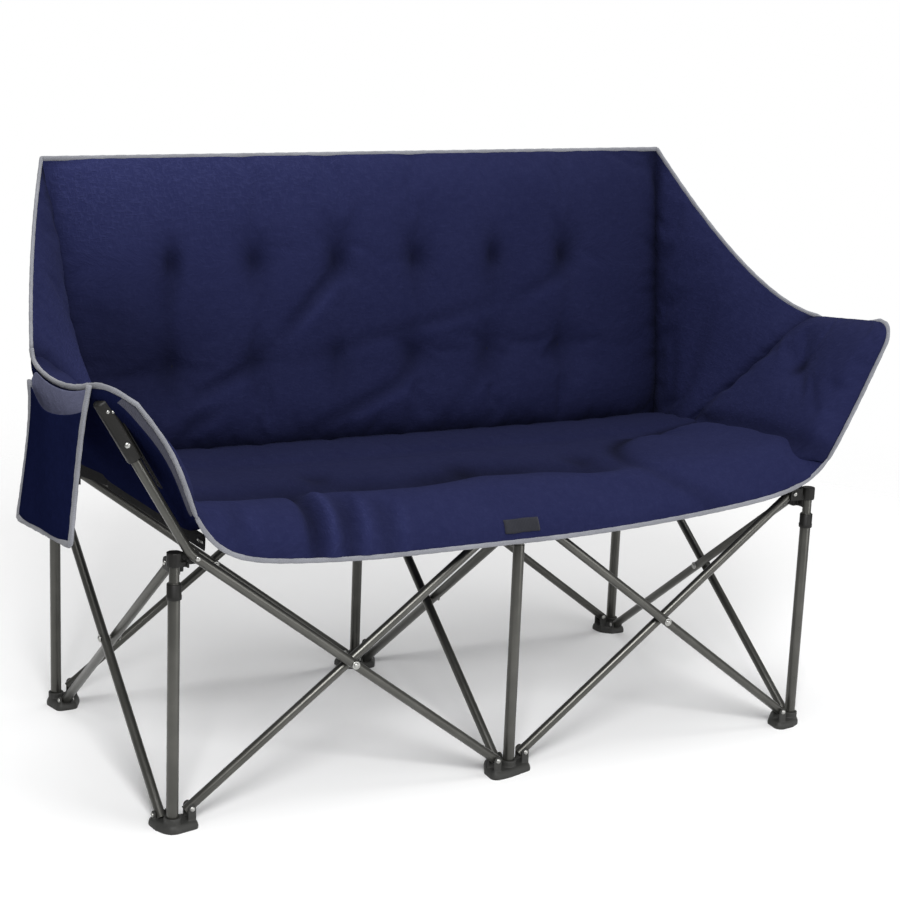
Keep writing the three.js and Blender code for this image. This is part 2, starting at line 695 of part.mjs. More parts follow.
// Profiles of the front pad as [y, z] pairs from its lower front edge to the fold line
const stepY = (share) => THREE.MathUtils.lerp(rollEndY, seatFoldY - clearance, share);
const lipBackY = seatFrontY + seatLipThickness;
const seatFrontUpper = (edge) => [
  [seatFrontY, edge],
  [seatFrontY - clearance, seatUnderside],
  [seatFrontY + rollShoulder.back * rollRadius, seatUnderside + rollShoulder.up * rollRadius],
  [rollEndY, seatTop],
  ...seatFrontShares.map((share) => [stepY(share), seatTop]),
];
const seatFrontLower = (edge) => [
  [lipBackY, edge],
  [lipBackY, THREE.MathUtils.lerp(edge, seatUnderside, 1 / 3)],
  [lipBackY, THREE.MathUtils.lerp(edge, seatUnderside, 2 / 3)],
  [lipBackY, seatUnderside],
  ...seatFrontShares.map((share) => [stepY(share), seatUnderside]),
];
const seatFrontRows = seatFrontUpper(edgeMiddle).length - 1;
const seatFrontPad = pad(seatColumns, seatFrontRows, (u, v, inner) => {
  const across = 2 * u - 1;
  const profile = (inner ? seatFrontUpper : seatFrontLower)(frontEdgeHeight(across));
  const [y, z] = profile[Math.round(v * seatFrontRows)];
  const swell = inner ? seatSwell(across, y) : 0;
  return new THREE.Vector3(across * seatHalfWidth(Math.max(y, frontY)), y, z + swell);
});
place('seat_front', seatFrontPad, coverFinish, new THREE.Vector3());

// The rear pad runs on under the back to the rear sliders
const seatRearYs = seatRearShares
  .map((share) => THREE.MathUtils.lerp(seatFoldY + clearance, backFoot.y - clearance, share))
  .concat(seatRearY);
const seatRearRows = seatRearYs.length - 1;
const seatRearPad = pad(seatColumns, seatRearRows, (u, v, inner) => {
  const across = 2 * u - 1;
  const y = seatRearYs[Math.round(v * seatRearRows)];
  const z = inner ? seatTop + seatSwell(across, y) : seatUnderside;
  return new THREE.Vector3(across * seatHalfWidth(Math.min(y, wingFootFront.y)), y, z);
});
place('seat_rear', seatRearPad, coverFinish, new THREE.Vector3());

// Pocket: a flat bag, open at the top, that hangs plumb from the outer face of the left arm
const laneFront = frontY - laneOffset;
const pocketFrontY = laneFront + sleeveRadius + pocketFrontFromTube;
// The line round the arm's outer face at the height of the pocket's mouth, by its front and rear ends
const armOuter = (along, rise) => blend(...armRise(rise), along).addScaledVector(armNormal, -rimThickness);
const [lineFront, lineRear] = [0, 1].map((along) => {
  const [low, high] = [0, 1].map((rise) => armOuter(along, rise));
  return blend(low, high, (pocketTop - low.z) / (high.z - low.z));
});
const armOuterX = (y) => THREE.MathUtils.mapLinear(y, lineFront.y, lineRear.y, lineFront.x, lineRear.x);
const pocketNear = -Math.max(armOuterX(pocketFrontY), armOuterX(pocketFrontY + pocketLength));
function bag(thickness, top, inset) {
  const back = pocketNear - clearance - inset;
  return pad(1, 1, (u, v, inner) => new THREE.Vector3(
    inner ? back : back - thickness,
    pocketFrontY + inset + u * (pocketLength - 2 * inset),
    THREE.MathUtils.lerp(pocketTop - pocketDepth + inset, top, v),
  ));
}
const pocket = cut(
  bag(pocketThickness, pocketTop, 0),
  [bag(pocketThickness - 2 * pocketWall, pocketTop + cutThrough, pocketWall)],
);
place('side_pocket', pocket, coverFinish, new THREE.Vector3());

// The origin is the middle of the footprint, on the floor
const bounds = new THREE.Box3().setFromObject(loveseat);
loveseat.position.y = -(bounds.min.y + bounds.max.y) / 2;
loveseat.updateMatrixWorld(true);

export default loveseat;
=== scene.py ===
"""Folding camping loveseat: the finish of its frame, its padded cover and a plain studio."""
import json
import math

import bmesh
import bpy
import numpy as np
from bpy.props import FloatProperty, FloatVectorProperty, IntProperty, PointerProperty
from mathutils import Matrix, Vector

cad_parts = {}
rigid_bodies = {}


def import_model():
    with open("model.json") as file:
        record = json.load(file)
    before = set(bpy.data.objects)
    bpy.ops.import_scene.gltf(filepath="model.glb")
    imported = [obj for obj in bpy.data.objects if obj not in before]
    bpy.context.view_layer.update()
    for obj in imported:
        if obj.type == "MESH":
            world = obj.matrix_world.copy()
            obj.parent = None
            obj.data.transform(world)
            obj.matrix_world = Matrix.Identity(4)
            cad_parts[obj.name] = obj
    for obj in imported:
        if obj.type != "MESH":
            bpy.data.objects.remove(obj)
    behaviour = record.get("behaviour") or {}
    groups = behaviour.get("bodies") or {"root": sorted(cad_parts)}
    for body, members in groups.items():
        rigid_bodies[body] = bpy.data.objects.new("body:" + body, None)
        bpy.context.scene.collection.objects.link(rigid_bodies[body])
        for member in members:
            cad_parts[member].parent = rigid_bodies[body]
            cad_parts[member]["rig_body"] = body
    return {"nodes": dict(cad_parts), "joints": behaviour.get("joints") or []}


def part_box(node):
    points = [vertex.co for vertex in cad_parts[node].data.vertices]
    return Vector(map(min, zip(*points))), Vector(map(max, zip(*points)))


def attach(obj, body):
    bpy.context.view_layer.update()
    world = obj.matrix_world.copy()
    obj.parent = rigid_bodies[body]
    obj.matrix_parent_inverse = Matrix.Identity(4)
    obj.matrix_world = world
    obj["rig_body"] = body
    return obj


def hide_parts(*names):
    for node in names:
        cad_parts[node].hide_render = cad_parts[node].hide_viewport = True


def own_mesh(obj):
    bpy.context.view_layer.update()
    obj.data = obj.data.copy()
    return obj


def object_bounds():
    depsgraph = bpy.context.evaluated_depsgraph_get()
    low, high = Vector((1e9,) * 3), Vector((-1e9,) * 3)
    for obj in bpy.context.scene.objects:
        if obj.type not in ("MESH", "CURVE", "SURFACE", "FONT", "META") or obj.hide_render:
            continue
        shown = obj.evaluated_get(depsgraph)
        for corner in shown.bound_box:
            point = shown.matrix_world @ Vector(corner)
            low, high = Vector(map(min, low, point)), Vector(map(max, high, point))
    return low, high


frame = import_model()
cad_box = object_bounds()

bl_info = {
    "name": "Folding loveseat",
    "version": (1, 0, 0),
    "blender": (4, 5, 0),
    "location": "3D View > Sidebar > Loveseat",
    "description": "Finishes, padded cover and studio of a folding camping loveseat",
    "category": "Object",
}

SIDES = {"left": -1.0, "right": 1.0}
COLUMNS = ("left", "mid", "right")
ROWS = ("front", "rear")
X_AXIS = np.array([1.0, 0.0, 0.0])
Y_AXIS = np.array([0.0, 1.0, 0.0])
Z_AXIS = np.array([0.0, 0.0, 1.0])
WHOLE_TURN = 2 * math.pi
LOW_PINS = 0.2  # pins below this height belong to the feet
TURNED_SIDES = 40
STRAP_SIDES = 16
STRAP_SQUARENESS = 0.6
TAPE_GIRTH = 0.02
THREAD_PITCH = 0.0022
RIB_PITCH = 0.0026


def node_box(node):
    """Lowest and highest corner of a frame node as arrays."""
    low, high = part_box(node)
    return np.array(low), np.array(high)


def post_axis(post):
    """Middle of a post, in plan."""
    low, high = node_box(f"post_{post}")
    return (low + high)[:2] / 2


FRONT_Y = float(post_axis("front_mid")[1])
REAR_Y = float(post_axis("rear_mid")[1])
PITCH = REAR_Y - FRONT_Y
FOLD_Y = FRONT_Y + PITCH / 2
BACK_HEIGHT = float(node_box("back_panel")[1][2])
SEAT_UNDERSIDE = float(node_box("seat_rear")[0][2])
POCKET_LOW, POCKET_HIGH = node_box("side_pocket")


def length(name, metres, description):
    """A size that a user may change."""
    return FloatProperty(name=name, description=description, default=metres, unit="LENGTH", precision=4)


def point(name, across, behind, height, description):
    """A place on the right-hand half of the cover, its depth counted from the front posts."""
    place = (across, FRONT_Y + behind, height)
    return FloatVectorProperty(
        name=name, description=description, default=place, subtype="XYZ", unit="LENGTH"
    )


def pair(name, lengths, description):
    """A length for the lower and one for the upper row of tufts."""
    return FloatVectorProperty(
        name=name, description=description, default=lengths, size=2, unit="LENGTH"
    )


def paint(name, colour, description):
    """A colour, in linear light."""
    return FloatVectorProperty(
        name=name, description=description, default=colour, subtype="COLOR", min=0, max=1
    )


class FrameSizes(bpy.types.PropertyGroup):
    """Sizes of the tubes, mouldings and rivets."""

    tube_sides: IntProperty(name="Tube sides", description="Facets round a tube", default=32, min=8)
    tube_wall: length("Tube wall", 0.0011, "Wall of every tube")
    tube_lip: length("Tube lip", 0.0005, "Rounding of a tube's ends")
    brace_overhang: length("Brace overhang", 0.009, "Brace past its pin")
    arm_slope: FloatProperty(
        name="Arm slope",
        description="Arm tube above the horizontal",
        default=math.radians(60),
        subtype="ANGLE",
    )
    arm_bend_past_pin: length("Arm bend", 0.012, "Bend of the arm past its hub pin")
    arm_bend_radius: length("Arm bend radius", 0.04, "Radius of the bend in the arm tube")
    arm_length: length("Arm length", 0.260, "Arm tube from its bend to its tip")
    clevis_half: length("Clevis half width", 0.0118, "Outside of a cheek from the middle of its slot")
    open_half: length("Open clevis half width", 0.0080, "Outside of an arm tube's pin from the tube's middle")
    rivet_radius: length("Rivet head", 0.0042, "Radius of a rivet's head")
    rivet_height: length("Rivet height", 0.0024, "Height of a rivet's head")
    grain: length("Moulding detail", 0.001, "Size of the smallest detail of a moulding")
    rounding: IntProperty(name="Moulding rounding", description="Passes that round a moulding", default=7)
    foot_flare: length("Foot flare", 0.003, "Skirt of a foot past its body")
    foot_corner: length("Foot corner", 0.008, "Rounding of a foot's corners in plan")
    foot_skirt: length("Foot skirt", 0.012, "Height of a foot's flared skirt")


class CoverSizes(bpy.types.PropertyGroup):
    """Sizes of the padded cover, its bindings and its pocket. Places are those of the right-hand half."""

    step: length("Cloth step", 0.008, "Spacing of the cloth's points")
    seam_half: length("Seam half thickness", 0.0018, "Half of the cloth's thickness at a seam")
    rim: length("Padded rim", 0.014, "Padding behind the cover's face")
    edge_round: length("Edge rounding", 0.03, "Distance over which padding thins towards a seam")
    bound_round: length("Bound edge rounding", 0.02, "Distance over which padding thins towards a bound edge")
    back_foot_left: point("Left back foot", 0.565, 0.472, 0.446, "Lower left corner of the back")
    back_foot_right: point("Right back foot", 0.578, 0.472, 0.446, "Lower right corner of the back")
    back_top: point("Back top", 0.595, 0.5488, BACK_HEIGHT, "Upper corner of the back")
    back_tilt: length("Back tilt", 0.010, "Rise of the back's right top corner, and fall of its left one")
    wing_foot: point("Wing foot", 0.5447, 0.33, 0.452, "Where wing, arm and seat meet")
    wing_pull_left: point("Left wing pull", 0.664, 0.388, 0.806, "What the left wing's edge bends towards")
    wing_pull_right: point("Right wing pull", 0.656, 0.30, 0.700, "What the right wing's edge bends towards")
    arm_rear_left: point("Left arm rear", 0.706, 0.232, 0.684, "Where left arm and wing meet at the top")
    arm_rear_right: point("Right arm rear", 0.700, 0.172, 0.688, "Where right arm and wing meet at the top")
    arm_top_left: point("Left arm top", 0.680, -0.045, 0.711, "Front corner of the left arm's top")
    arm_top_right: point("Right arm top", 0.689, -0.045, 0.711, "Front corner of the right arm's top")
    arm_foot_left: point("Left arm foot", 0.517, -0.045, 0.439, "Front corner of the left arm's foot")
    arm_foot_right: point("Right arm foot", 0.5246, -0.045, 0.439, "Front corner of the right arm's foot")
    arm_corner_left: length("Left arm corner", 0.069, "Rounding of the left arm's top front corner")
    arm_corner_right: length("Right arm corner", 0.042, "Rounding of the right arm's top front corner")
    arm_bow: length("Arm bow", 0.015, "How far the foot of the arm's front edge curls out")
    arm_tuck: length("Arm tuck", 0.020, "How far the left arm's front edge is drawn in")
    arm_flap: length("Arm flap", 0.030, "Cover in front of the arm tube")
    arm_hem: length("Arm hem", 0.012, "Width of the tape inside the arm's front edge")
    arm_sag: length("Arm sag", 0.045, "Sag of the left arm's top under the pocket")
    arm_crown: length("Arm crown", 0.019, "Swell of the arm's padding")
    arm_crease: FloatProperty(
        name="Arm crease", description="Share of the arm's height that the seat's side covers", default=0.2
    )
    wing_crown: length("Wing crown", 0.014, "Swell of the wing's padding")
    back_crown: length("Back crown", 0.026, "Swell of the back's padding")
    tuft_depth: length("Tuft depth", 0.018, "How deep a tuft is drawn in")
    tuft_radius: length("Tuft radius", 0.017, "Reach of a tuft's dimple")
    tuft_count: IntProperty(name="Tufts", description="Tufts in a row", default=6)
    tuft_rows: pair("Tuft rows", (0.595, 0.760), "Heights of the rows of tufts")
    tuft_pitches: pair("Tuft pitches", (0.150, 0.152), "Between the tufts of each row")
    tuft_shifts: pair("Tuft shifts", (-0.025, -0.014), "Middle of each row")
    pull_depth: length("Pull depth", 0.009, "Depth of the creases of the back")
    seat_top: length("Seat top", 0.4527, "Height of the seat without its padding")
    seat_underside: length("Seat underside", SEAT_UNDERSIDE, "Height of the seat's underside")
    seat_crown: length("Seat crown", 0.012, "Swell of the seat's padding")
    seat_valley: length("Seat valley", 0.020, "Depth of the valley behind the seat's front roll")
    seat_pillow: length("Seat pillow", 0.012, "Rise of the seat's plump right end")
    seat_front: length("Seat front", FRONT_Y - 0.045, "Place of the seat's front edge")
    seat_edge: length("Seat edge", 0.399, "Height of the front edge in the middle")
    roll_depth: length("Front roll", 0.095, "Depth of the seat's front roll")
    binding_width: length("Binding width", 0.0105, "Width of the edge binding")
    binding_thickness: length("Binding thickness", 0.0060, "Thickness of the edge binding")
    pocket_corner: length("Pocket corner", 0.045, "Rounding of the pocket's upper rear corner")
    pocket_lean: length("Pocket lean", 0.018, "How far the pocket's rear edge leans forward at its top")
    pocket_mouth: length("Pocket mouth", 0.034, "Drop of the pocket's mouth below its top")
    pocket_swell: length("Pocket swell", 0.012, "How far the pocket stands out")
    pocket_swing: length("Pocket swing", 0.018, "How far the pocket's foot hangs away from the arm")


class Finishes(bpy.types.PropertyGroup):
    """Colours of the loveseat and its studio."""

    cloth: paint("Cloth", (0.0104, 0.0124, 0.0450), "Navy polyester")
    cloth_light: paint("Rubbed cloth", (0.0172, 0.0200, 0.0630), "Navy polyester where it is rubbed")
    # The outer cloth is the cover cloth darkened as painted shade, for the faces turned away from the lamps.
    outer: paint("Outer cloth", (0.0045, 0.0061, 0.0240), "Dark navy polyester outside the cover")
    lining: paint("Lining", (0.105, 0.110, 0.172), "Paler inside of the pocket")
    binding: paint("Binding", (0.215, 0.220, 0.245), "Grey edge binding")
    hem: paint("Hem", (0.058, 0.059, 0.078), "Grey tape inside the arms' hems")
    patch: paint("Patch", (0.022, 0.023, 0.030), "Bare patch on the seat's front")
    webbing: paint("Webbing", (0.010, 0.010, 0.011), "Black webbing")
    tube: paint("Tubes", (0.100, 0.099, 0.090), "Gunmetal powder coat")
    foot: paint("Feet", (0.036, 0.036, 0.034), "Charcoal plastic")
    hub: paint("Hubs", (0.0085, 0.0082, 0.0075), "Black plastic")
    steel: paint("Rivets", (0.50, 0.50, 0.48), "Plated steel")
    floor: paint("Floor", (0.95, 0.95, 0.95), "Studio floor")


# Shaders


class Value:
    """A shader socket that takes part in Python expressions by adding Math nodes."""

    def __init__(self, shader, socket):
        self.shader = shader
        self.socket = socket

    def work(self, operation, first, second):
        """Result of a Math node on two values."""
        return self.shader.node("ShaderNodeMath", {"operation": operation}, {0: first, 1: second})

    def __add__(self, other):
        return self.work("ADD", self, other)

    def __sub__(self, other):
        return self.work("SUBTRACT", self, other)

    def __mul__(self, other):
        return self.work("MULTIPLY", self, other)

    def __rsub__(self, other):
        return self.work("SUBTRACT", other, self)

    __radd__ = __add__
    __rmul__ = __mul__


class Shader:
    """A material and the nodes that make it."""

    def __init__(self, name):
        self.material = bpy.data.materials.new(name)
        self.material.use_nodes = True
        self.tree = self.material.node_tree
        self.tree.nodes.clear()
        self.output = self.tree.nodes.new("ShaderNodeOutputMaterial")

    def node(self, kind, settings=None, sockets=None, output=0):
        """Adds a node, sets it up, fills or links its sockets and returns one of its outputs."""
        made = self.tree.nodes.new(kind)
        for name, value in (settings or {}).items():
            setattr(made, name, value)
        for name, value in (sockets or {}).items():
            if isinstance(value, Value):
                self.tree.links.new(value.socket, made.inputs[name])
            else:
                made.inputs[name].default_value = value
        return Value(self, made.outputs[output])

    def own_place(self):
        """Places in the piece's own frame."""
        return self.node("ShaderNodeTexCoord", None, None, "Object")

    def cloth_place(self):
        """Places on the cloth's own map, in metres."""
        return self.node("ShaderNodeUVMap", {"uv_map": "cloth"})

    def number(self, where, axis):
        """One number of a place."""
        return self.node("ShaderNodeSeparateXYZ", None, {0: where}, axis)

    def noise(self, where, scale, detail=3.0, roughness=0.55):
        sockets = {"Vector": where, "Scale": scale, "Detail": detail, "Roughness": roughness}
        return self.node("ShaderNodeTexNoise", {"noise_dimensions": "3D"}, sockets, "Fac")

    def stretched(self, where, scale):
        """The same places with each axis scaled."""
        return self.node("ShaderNodeMapping", None, {"Vector": where, "Scale": scale})

    def sine(self, value):
        return self.node("ShaderNodeMath", {"operation": "SINE"}, {0: value})

    def ramp(self, value, low, high):
        """Zero below the low value, one above the high one and smooth between them."""
        sockets = {"Value": value, "From Min": low, "From Max": high}
        return self.node("ShaderNodeMapRange", {"interpolation_type": "SMOOTHSTEP"}, sockets)

    def mix(self, share, first, second, blend="MIX"):
        """Mix of two colours. Its sockets go by number, because several of them share a name."""
        settings = {"data_type": "RGBA", "blend_type": blend}
        return self.node("ShaderNodeMix", settings, {0: share, 6: first, 7: second}, 2)

    def tint(self, share, first, second):
        """Colour between two colours."""
        return self.mix(share, (*first, 1), (*second, 1))

    def shaded(self, colour, share):
        """Colour made darker or lighter by a share."""
        return self.mix(1.0, colour, share, "MULTIPLY")

    def bump(self, height, distance, strength=1.0):
        sockets = {"Height": height, "Distance": distance, "Strength": strength}
        return self.node("ShaderNodeBump", None, sockets)

    def surface(self, sockets):
        """Principled surface from its sockets, as the material's result."""
        made = self.node("ShaderNodeBsdfPrincipled", None, sockets)
        self.tree.links.new(made.socket, self.output.inputs["Surface"])
        return self.material


def scaled(colour, share):
    """A darker or lighter shade of a colour."""
    return tuple(min(1.0, channel * share) for channel in colour)


def woven_cloth(name, shade, light, roughness=0.82, crinkle=0.0016, gloss=0.04):
    """Plain weave of two crossed sets of threads on the cloth's own map, in metres, with soft crinkles; its
    colour carries the painted light and shade of the piece's shade attribute.
    """
    shader = Shader(name)
    place = shader.cloth_place()
    warp, weft = (shader.sine(shader.number(place, axis) * (WHOLE_TURN / THREAD_PITCH)) for axis in "XY")
    weave = warp * weft
    slub = shader.noise(place, 900.0, 2.0)
    broad = shader.noise(place, 9.0, 3.0)
    folds = shader.noise(place, 60.0, 5.0, 0.62)
    creases = shader.ramp(folds, 0.3, 0.75)
    upright = shader.noise(shader.stretched(place, (2.8, 1.0, 1.0)), 80.0, 3.0, 0.6)
    level = shader.noise(shader.stretched(place, (1.0, 2.8, 1.0)), 80.0, 3.0, 0.6)
    crumple = shader.ramp(upright, 0.45, 0.68) + shader.ramp(level, 0.47, 0.7)
    # The shade attribute is painted light and shade: it darkens the colour in creases, tufts and seams and
    # pales it where light falls, and the crinkles, in bump and colour, are stronger where it is pale.
    wear_and_painted_shading = shader.node("ShaderNodeAttribute", {"attribute_name": "shade"}, None, "Fac")
    crumple = crumple * (shader.ramp(wear_and_painted_shading, 0.0, 0.45) * 1.4 + 0.4)
    rubbed = shader.ramp(broad * 0.25 + slub * 0.25 + folds * 0.3 + crumple * 0.2, 0.2, 0.75)
    height = weave * 0.06 + slub * 0.10 + creases * 0.8 + crumple * 0.7
    return shader.surface({
        "Base Color": shader.shaded(shader.tint(rubbed, shade, light), wear_and_painted_shading + 1.0),
        "Roughness": roughness + (slub - 0.5) * 0.14,
        "Specular IOR Level": gloss,
        "Sheen Weight": gloss / 2,
        "Sheen Roughness": 0.5,
        "Sheen Tint": (0.45, 0.5, 1.0, 1),
        "Normal": shader.bump(height, crinkle, 0.55),
    })


def ribbed_tape(name, colour, gloss=0.3, sheen=0.2):
    """Woven tape with ribs across it, from a map whose first number runs along the tape in metres."""
    shader = Shader(name)
    place = shader.cloth_place()
    rib = shader.sine(shader.number(place, "X") * (WHOLE_TURN / RIB_PITCH))
    lint = shader.noise(place, 700.0, 3.0)
    stain = shader.noise(place, 18.0, 3.0)
    wear_and_painted_shading = shader.ramp(stain * 0.6 + lint * 0.4, 0.32, 0.7)
    return shader.surface({
        "Base Color": shader.tint(wear_and_painted_shading, scaled(colour, 0.80), scaled(colour, 1.12)),
        "Roughness": 0.84 + (lint - 0.5) * 0.12,
        "Specular IOR Level": gloss,
        "Sheen Weight": sheen,
        "Normal": shader.bump(rib * 0.35 + lint, 0.0006, 0.8),
    })


def powder_coat(name, colour):
    """Satin powder coat: fine orange peel, faint cloudiness and a few rubbed specks."""
    shader = Shader(name)
    place = shader.own_place()
    peel = shader.noise(place, 1400.0, 2.0)
    cloud = shader.noise(place, 22.0, 4.0)
    specks = shader.ramp(shader.noise(place, 260.0, 4.0), 0.66, 0.74)
    shade = shader.ramp(cloud * 0.8 + specks * 0.2, 0.3, 0.75)
    return shader.surface({
        "Base Color": shader.tint(shade, scaled(colour, 0.86), scaled(colour, 1.16)),
        "Metallic": 0.75,
        "Roughness": 0.31 + (cloud - 0.5) * 0.16 + (peel - 0.5) * 0.06,
        "Specular IOR Level": 0.5,
        "Coat Weight": 0.12,
        "Coat Roughness": 0.3,
        "Normal": shader.bump(peel, 0.0002, 0.35),
    })


def moulded_plastic(name, colour, roughness):
    """Moulded plastic: fine spark-eroded grain, paler where it is scuffed."""
    shader = Shader(name)
    place = shader.own_place()
    grain = shader.noise(place, 1800.0, 2.0)
    cloud = shader.noise(place, 45.0, 4.0)
    scuffs = shader.ramp(cloud, 0.55, 0.8)
    return shader.surface({
        "Base Color": shader.tint(scuffs, colour, scaled(colour, 1.7)),
        "Roughness": roughness + (grain - 0.5) * 0.2,
        "Specular IOR Level": 0.3,
        "Normal": shader.bump(grain, 0.0003, 0.4),
    })


def plated_steel(name, colour):
    """Plated steel: bright, with fine turning marks and slight dulling."""
    shader = Shader(name)
    place = shader.own_place()
    marks = shader.noise(place, 2400.0, 2.0)
    dull = shader.noise(place, 160.0, 3.0)
    return shader.surface({
        "Base Color": shader.tint(dull, scaled(colour, 0.78), colour),
        "Metallic": 1.0,
        "Roughness": 0.24 + dull * 0.16,
        "Normal": shader.bump(marks, 0.0001, 0.3),
    })


made_finishes = {}


def finish(name):
    """Material of that name, made the first time that it is asked for."""
    colours = bpy.context.scene.loveseat_finishes
    outer, lining = colours.outer, colours.lining
    makers = {
        "cover_cloth": (woven_cloth, colours.cloth, colours.cloth_light),
        # Darker copy of the cloth as painted shade on the cover's outer faces.
        "outer_cloth": (woven_cloth, outer, scaled(outer, 1.4), 0.9, 0.0016, 0.0),
        # Darker copy of the outer cloth as painted shade on the pocket's front.
        "pocket_cloth": (woven_cloth, scaled(outer, 1.3), scaled(outer, 1.9), 0.85, 0.0012, 0.0),
        "pocket_lining": (woven_cloth, lining, scaled(lining, 1.35), 0.7, 0.0012),
        "edge_binding": (ribbed_tape, colours.binding),
        "hem_tape": (ribbed_tape, colours.hem, 0.1, 0.05),
        "patch_tape": (ribbed_tape, colours.patch, 0.15, 0.05),
        "black_webbing": (ribbed_tape, colours.webbing, 0.1, 0.02),
        "tube_paint": (powder_coat, colours.tube),
        "foot_plastic": (moulded_plastic, colours.foot, 0.55),
        "hub_plastic": (moulded_plastic, colours.hub, 0.48),
        "rivet_steel": (plated_steel, colours.steel),
    }
    if name not in made_finishes:
        make, *settings = makers[name]
        made_finishes[name] = make(name, *settings)
    return made_finishes[name]


# Mesh work


def unit(vectors):
    """Vectors scaled to length one."""
    return vectors / np.linalg.norm(vectors, axis=-1, keepdims=True)


def between(first, second, share):
    """Points between two points or rows of points, by share."""
    return first + (second - first) * np.asarray(share)[..., None]


def run_length(points):
    """Distance along a row of points from its start."""
    steps = np.linalg.norm(np.diff(points, axis=0), axis=1)
    return np.concatenate([[0.0], np.cumsum(steps)])


def spaced(points, step):
    """The same polyline with its points an even step apart."""
    along = run_length(points)
    count = max(2, int(round(along[-1] / step)) + 1)
    places = np.linspace(0.0, along[-1], count)
    return np.stack([np.interp(places, along, line) for line in points.T], axis=1)


def rounded(distance, reach):
    """Quarter circle from 0 at an edge to 1 at the reach and beyond it."""
    share = np.clip(distance / reach, 0.0, 1.0)
    return np.sqrt(1.0 - (1.0 - share) ** 2)


def bell(distance, reach):
    """Bell curve: 1 in the middle, fading over the reach."""
    return np.exp(-((distance / reach) ** 2))


def grid_quads(rows, columns, close_rows=False, close_columns=False):
    """Corners of the quads of a grid of points; a closed direction joins its last line to its first."""
    row = np.arange(rows if close_rows else rows - 1)
    column = np.arange(columns if close_columns else columns - 1)
    a, b = (each.ravel() for each in np.meshgrid(row, column, indexing="ij"))
    next_a, next_b = (a + 1) % rows, (b + 1) % columns
    corners = [a * columns + b, next_a * columns + b, next_a * columns + next_b, a * columns + next_b]
    return np.stack(corners, axis=1)


def capped_quads(rows, sides):
    """Faces of rows of rings of points, closed by a flat face at both ends."""
    caps = [list(range(sides))[::-1], list(range((rows - 1) * sides, rows * sides))]
    return grid_quads(rows, sides, False, True).tolist() + caps


def round_angles(sides):
    """Even angles once round a circle."""
    return np.linspace(0.0, WHOLE_TURN, sides, endpoint=False)


def add_piece(name, points, faces, material, cloth_map=None):
    """Mesh object from points and faces, smooth and facing outwards, with its cloth map if it has one."""
    mesh = bpy.data.meshes.new(name)
    mesh.from_pydata(np.asarray(points).reshape(-1, 3).tolist(), [], faces)
    if cloth_map is not None:
        corners = np.zeros(len(mesh.loops), np.int32)
        mesh.loops.foreach_get("vertex_index", corners)
        layer = mesh.uv_layers.new(name="cloth")
        layer.data.foreach_set("uv", np.asarray(cloth_map, np.float32).reshape(-1, 2)[corners].ravel())
    shell = bmesh.new()
    shell.from_mesh(mesh)
    bmesh.ops.recalc_face_normals(shell, faces=shell.faces)
    shell.to_mesh(mesh)
    shell.free()
    mesh.shade_smooth()
    mesh.materials.append(finish(material))
    piece = bpy.data.objects.new(name, mesh)
    bpy.context.scene.collection.objects.link(piece)
    return piece


def carry(piece, body, slot, *nodes):
    """Rides a piece on its body and hides the frame nodes that it stands for; its slot is not used."""
    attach(piece, body)
    if nodes:
        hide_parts(*nodes)
    return piece


def joined(shells):
    """Points and faces of several shells as one list."""
    points, faces, start = [], [], 0
    for shell_points, shell_faces in shells:
        flat = np.asarray(shell_points).reshape(-1, 3)
        points.append(flat)
        faces += [[start + corner for corner in face] for face in shell_faces]
        start += len(flat)
    return np.concatenate(points), faces


def sweep_frame(route, side):
    """Two directions square to a route: the side given, and the one square to both."""
    tangent = unit(np.gradient(route, axis=0))
    side = np.broadcast_to(side, route.shape)
    across = unit(side - tangent * np.sum(side * tangent, axis=1, keepdims=True))
    return across, np.cross(tangent, across)


def hollow_tube(route, side, radius, wall, lip, sides):
    """A circle carried along a route outside and back along it inside, with lips at both ends."""
    along = run_length(route)
    from_end = np.minimum(along, along[-1] - along)
    outer_radius = radius - lip * (1.0 - rounded(from_end, lip))
    across, up = sweep_frame(route, side)
    angle = round_angles(sides)[None, :, None]
    ring = np.cos(angle) * across[:, None] + np.sin(angle) * up[:, None]
    outer = route[:, None] + outer_radius[:, None, None] * ring
    inner = (route[:, None] + (radius - wall) * ring)[::-1]
    points = np.concatenate([outer, inner])
    return points, grid_quads(len(points), sides, True, True).tolist()


def solid_sweep(route, side, half_side, half_up, sides, squareness=1.0):
    """An oval section carried along a route and closed at both ends. A low squareness boxes it."""
    angle = round_angles(sides)
    waves = (np.cos(angle), np.sin(angle))
    points = route[:, None]
    for half, wave, way in zip((half_side, half_up), waves, sweep_frame(route, side)):
        half = np.broadcast_to(half, len(route))[:, None, None]
        share = np.sign(wave) * np.abs(wave) ** squareness
        points = points + half * share[None, :, None] * way[:, None]
    return points, capped_quads(len(route), sides)


def turned(profile, origin, axis, sides):
    """Pairs of radius and height carried round an axis, closed by a flat face at both ends."""
    axis = unit(np.asarray(axis, float))
    side = unit(np.cross(axis, X_AXIS if abs(axis[0]) < 0.9 else Y_AXIS))
    other = np.cross(axis, side)
    angle = round_angles(sides)[None, :, None]
    radius, height = np.asarray(profile, float).T[:, :, None, None]
    ring = np.cos(angle) * side + np.sin(angle) * other
    points = np.asarray(origin) + radius * ring + height * axis
    return points, capped_quads(len(profile), sides)


def domed_head(origin, axis, radius, height, sides=20):
    """Rivet head: a low dome, from a quarter of an ellipse turned round its axis."""
    angle = np.linspace(0.0, 0.48 * math.pi, 7)
    profile = np.stack([radius * np.cos(angle), height * np.sin(angle)], axis=1)
    return turned(np.concatenate([[[radius, -0.3 * height]], profile]), origin, axis, sides)


# Frame pieces


def node_points(node):
    """Corners of a frame node."""
    return mesh_points(frame["nodes"][node].data).astype(float)


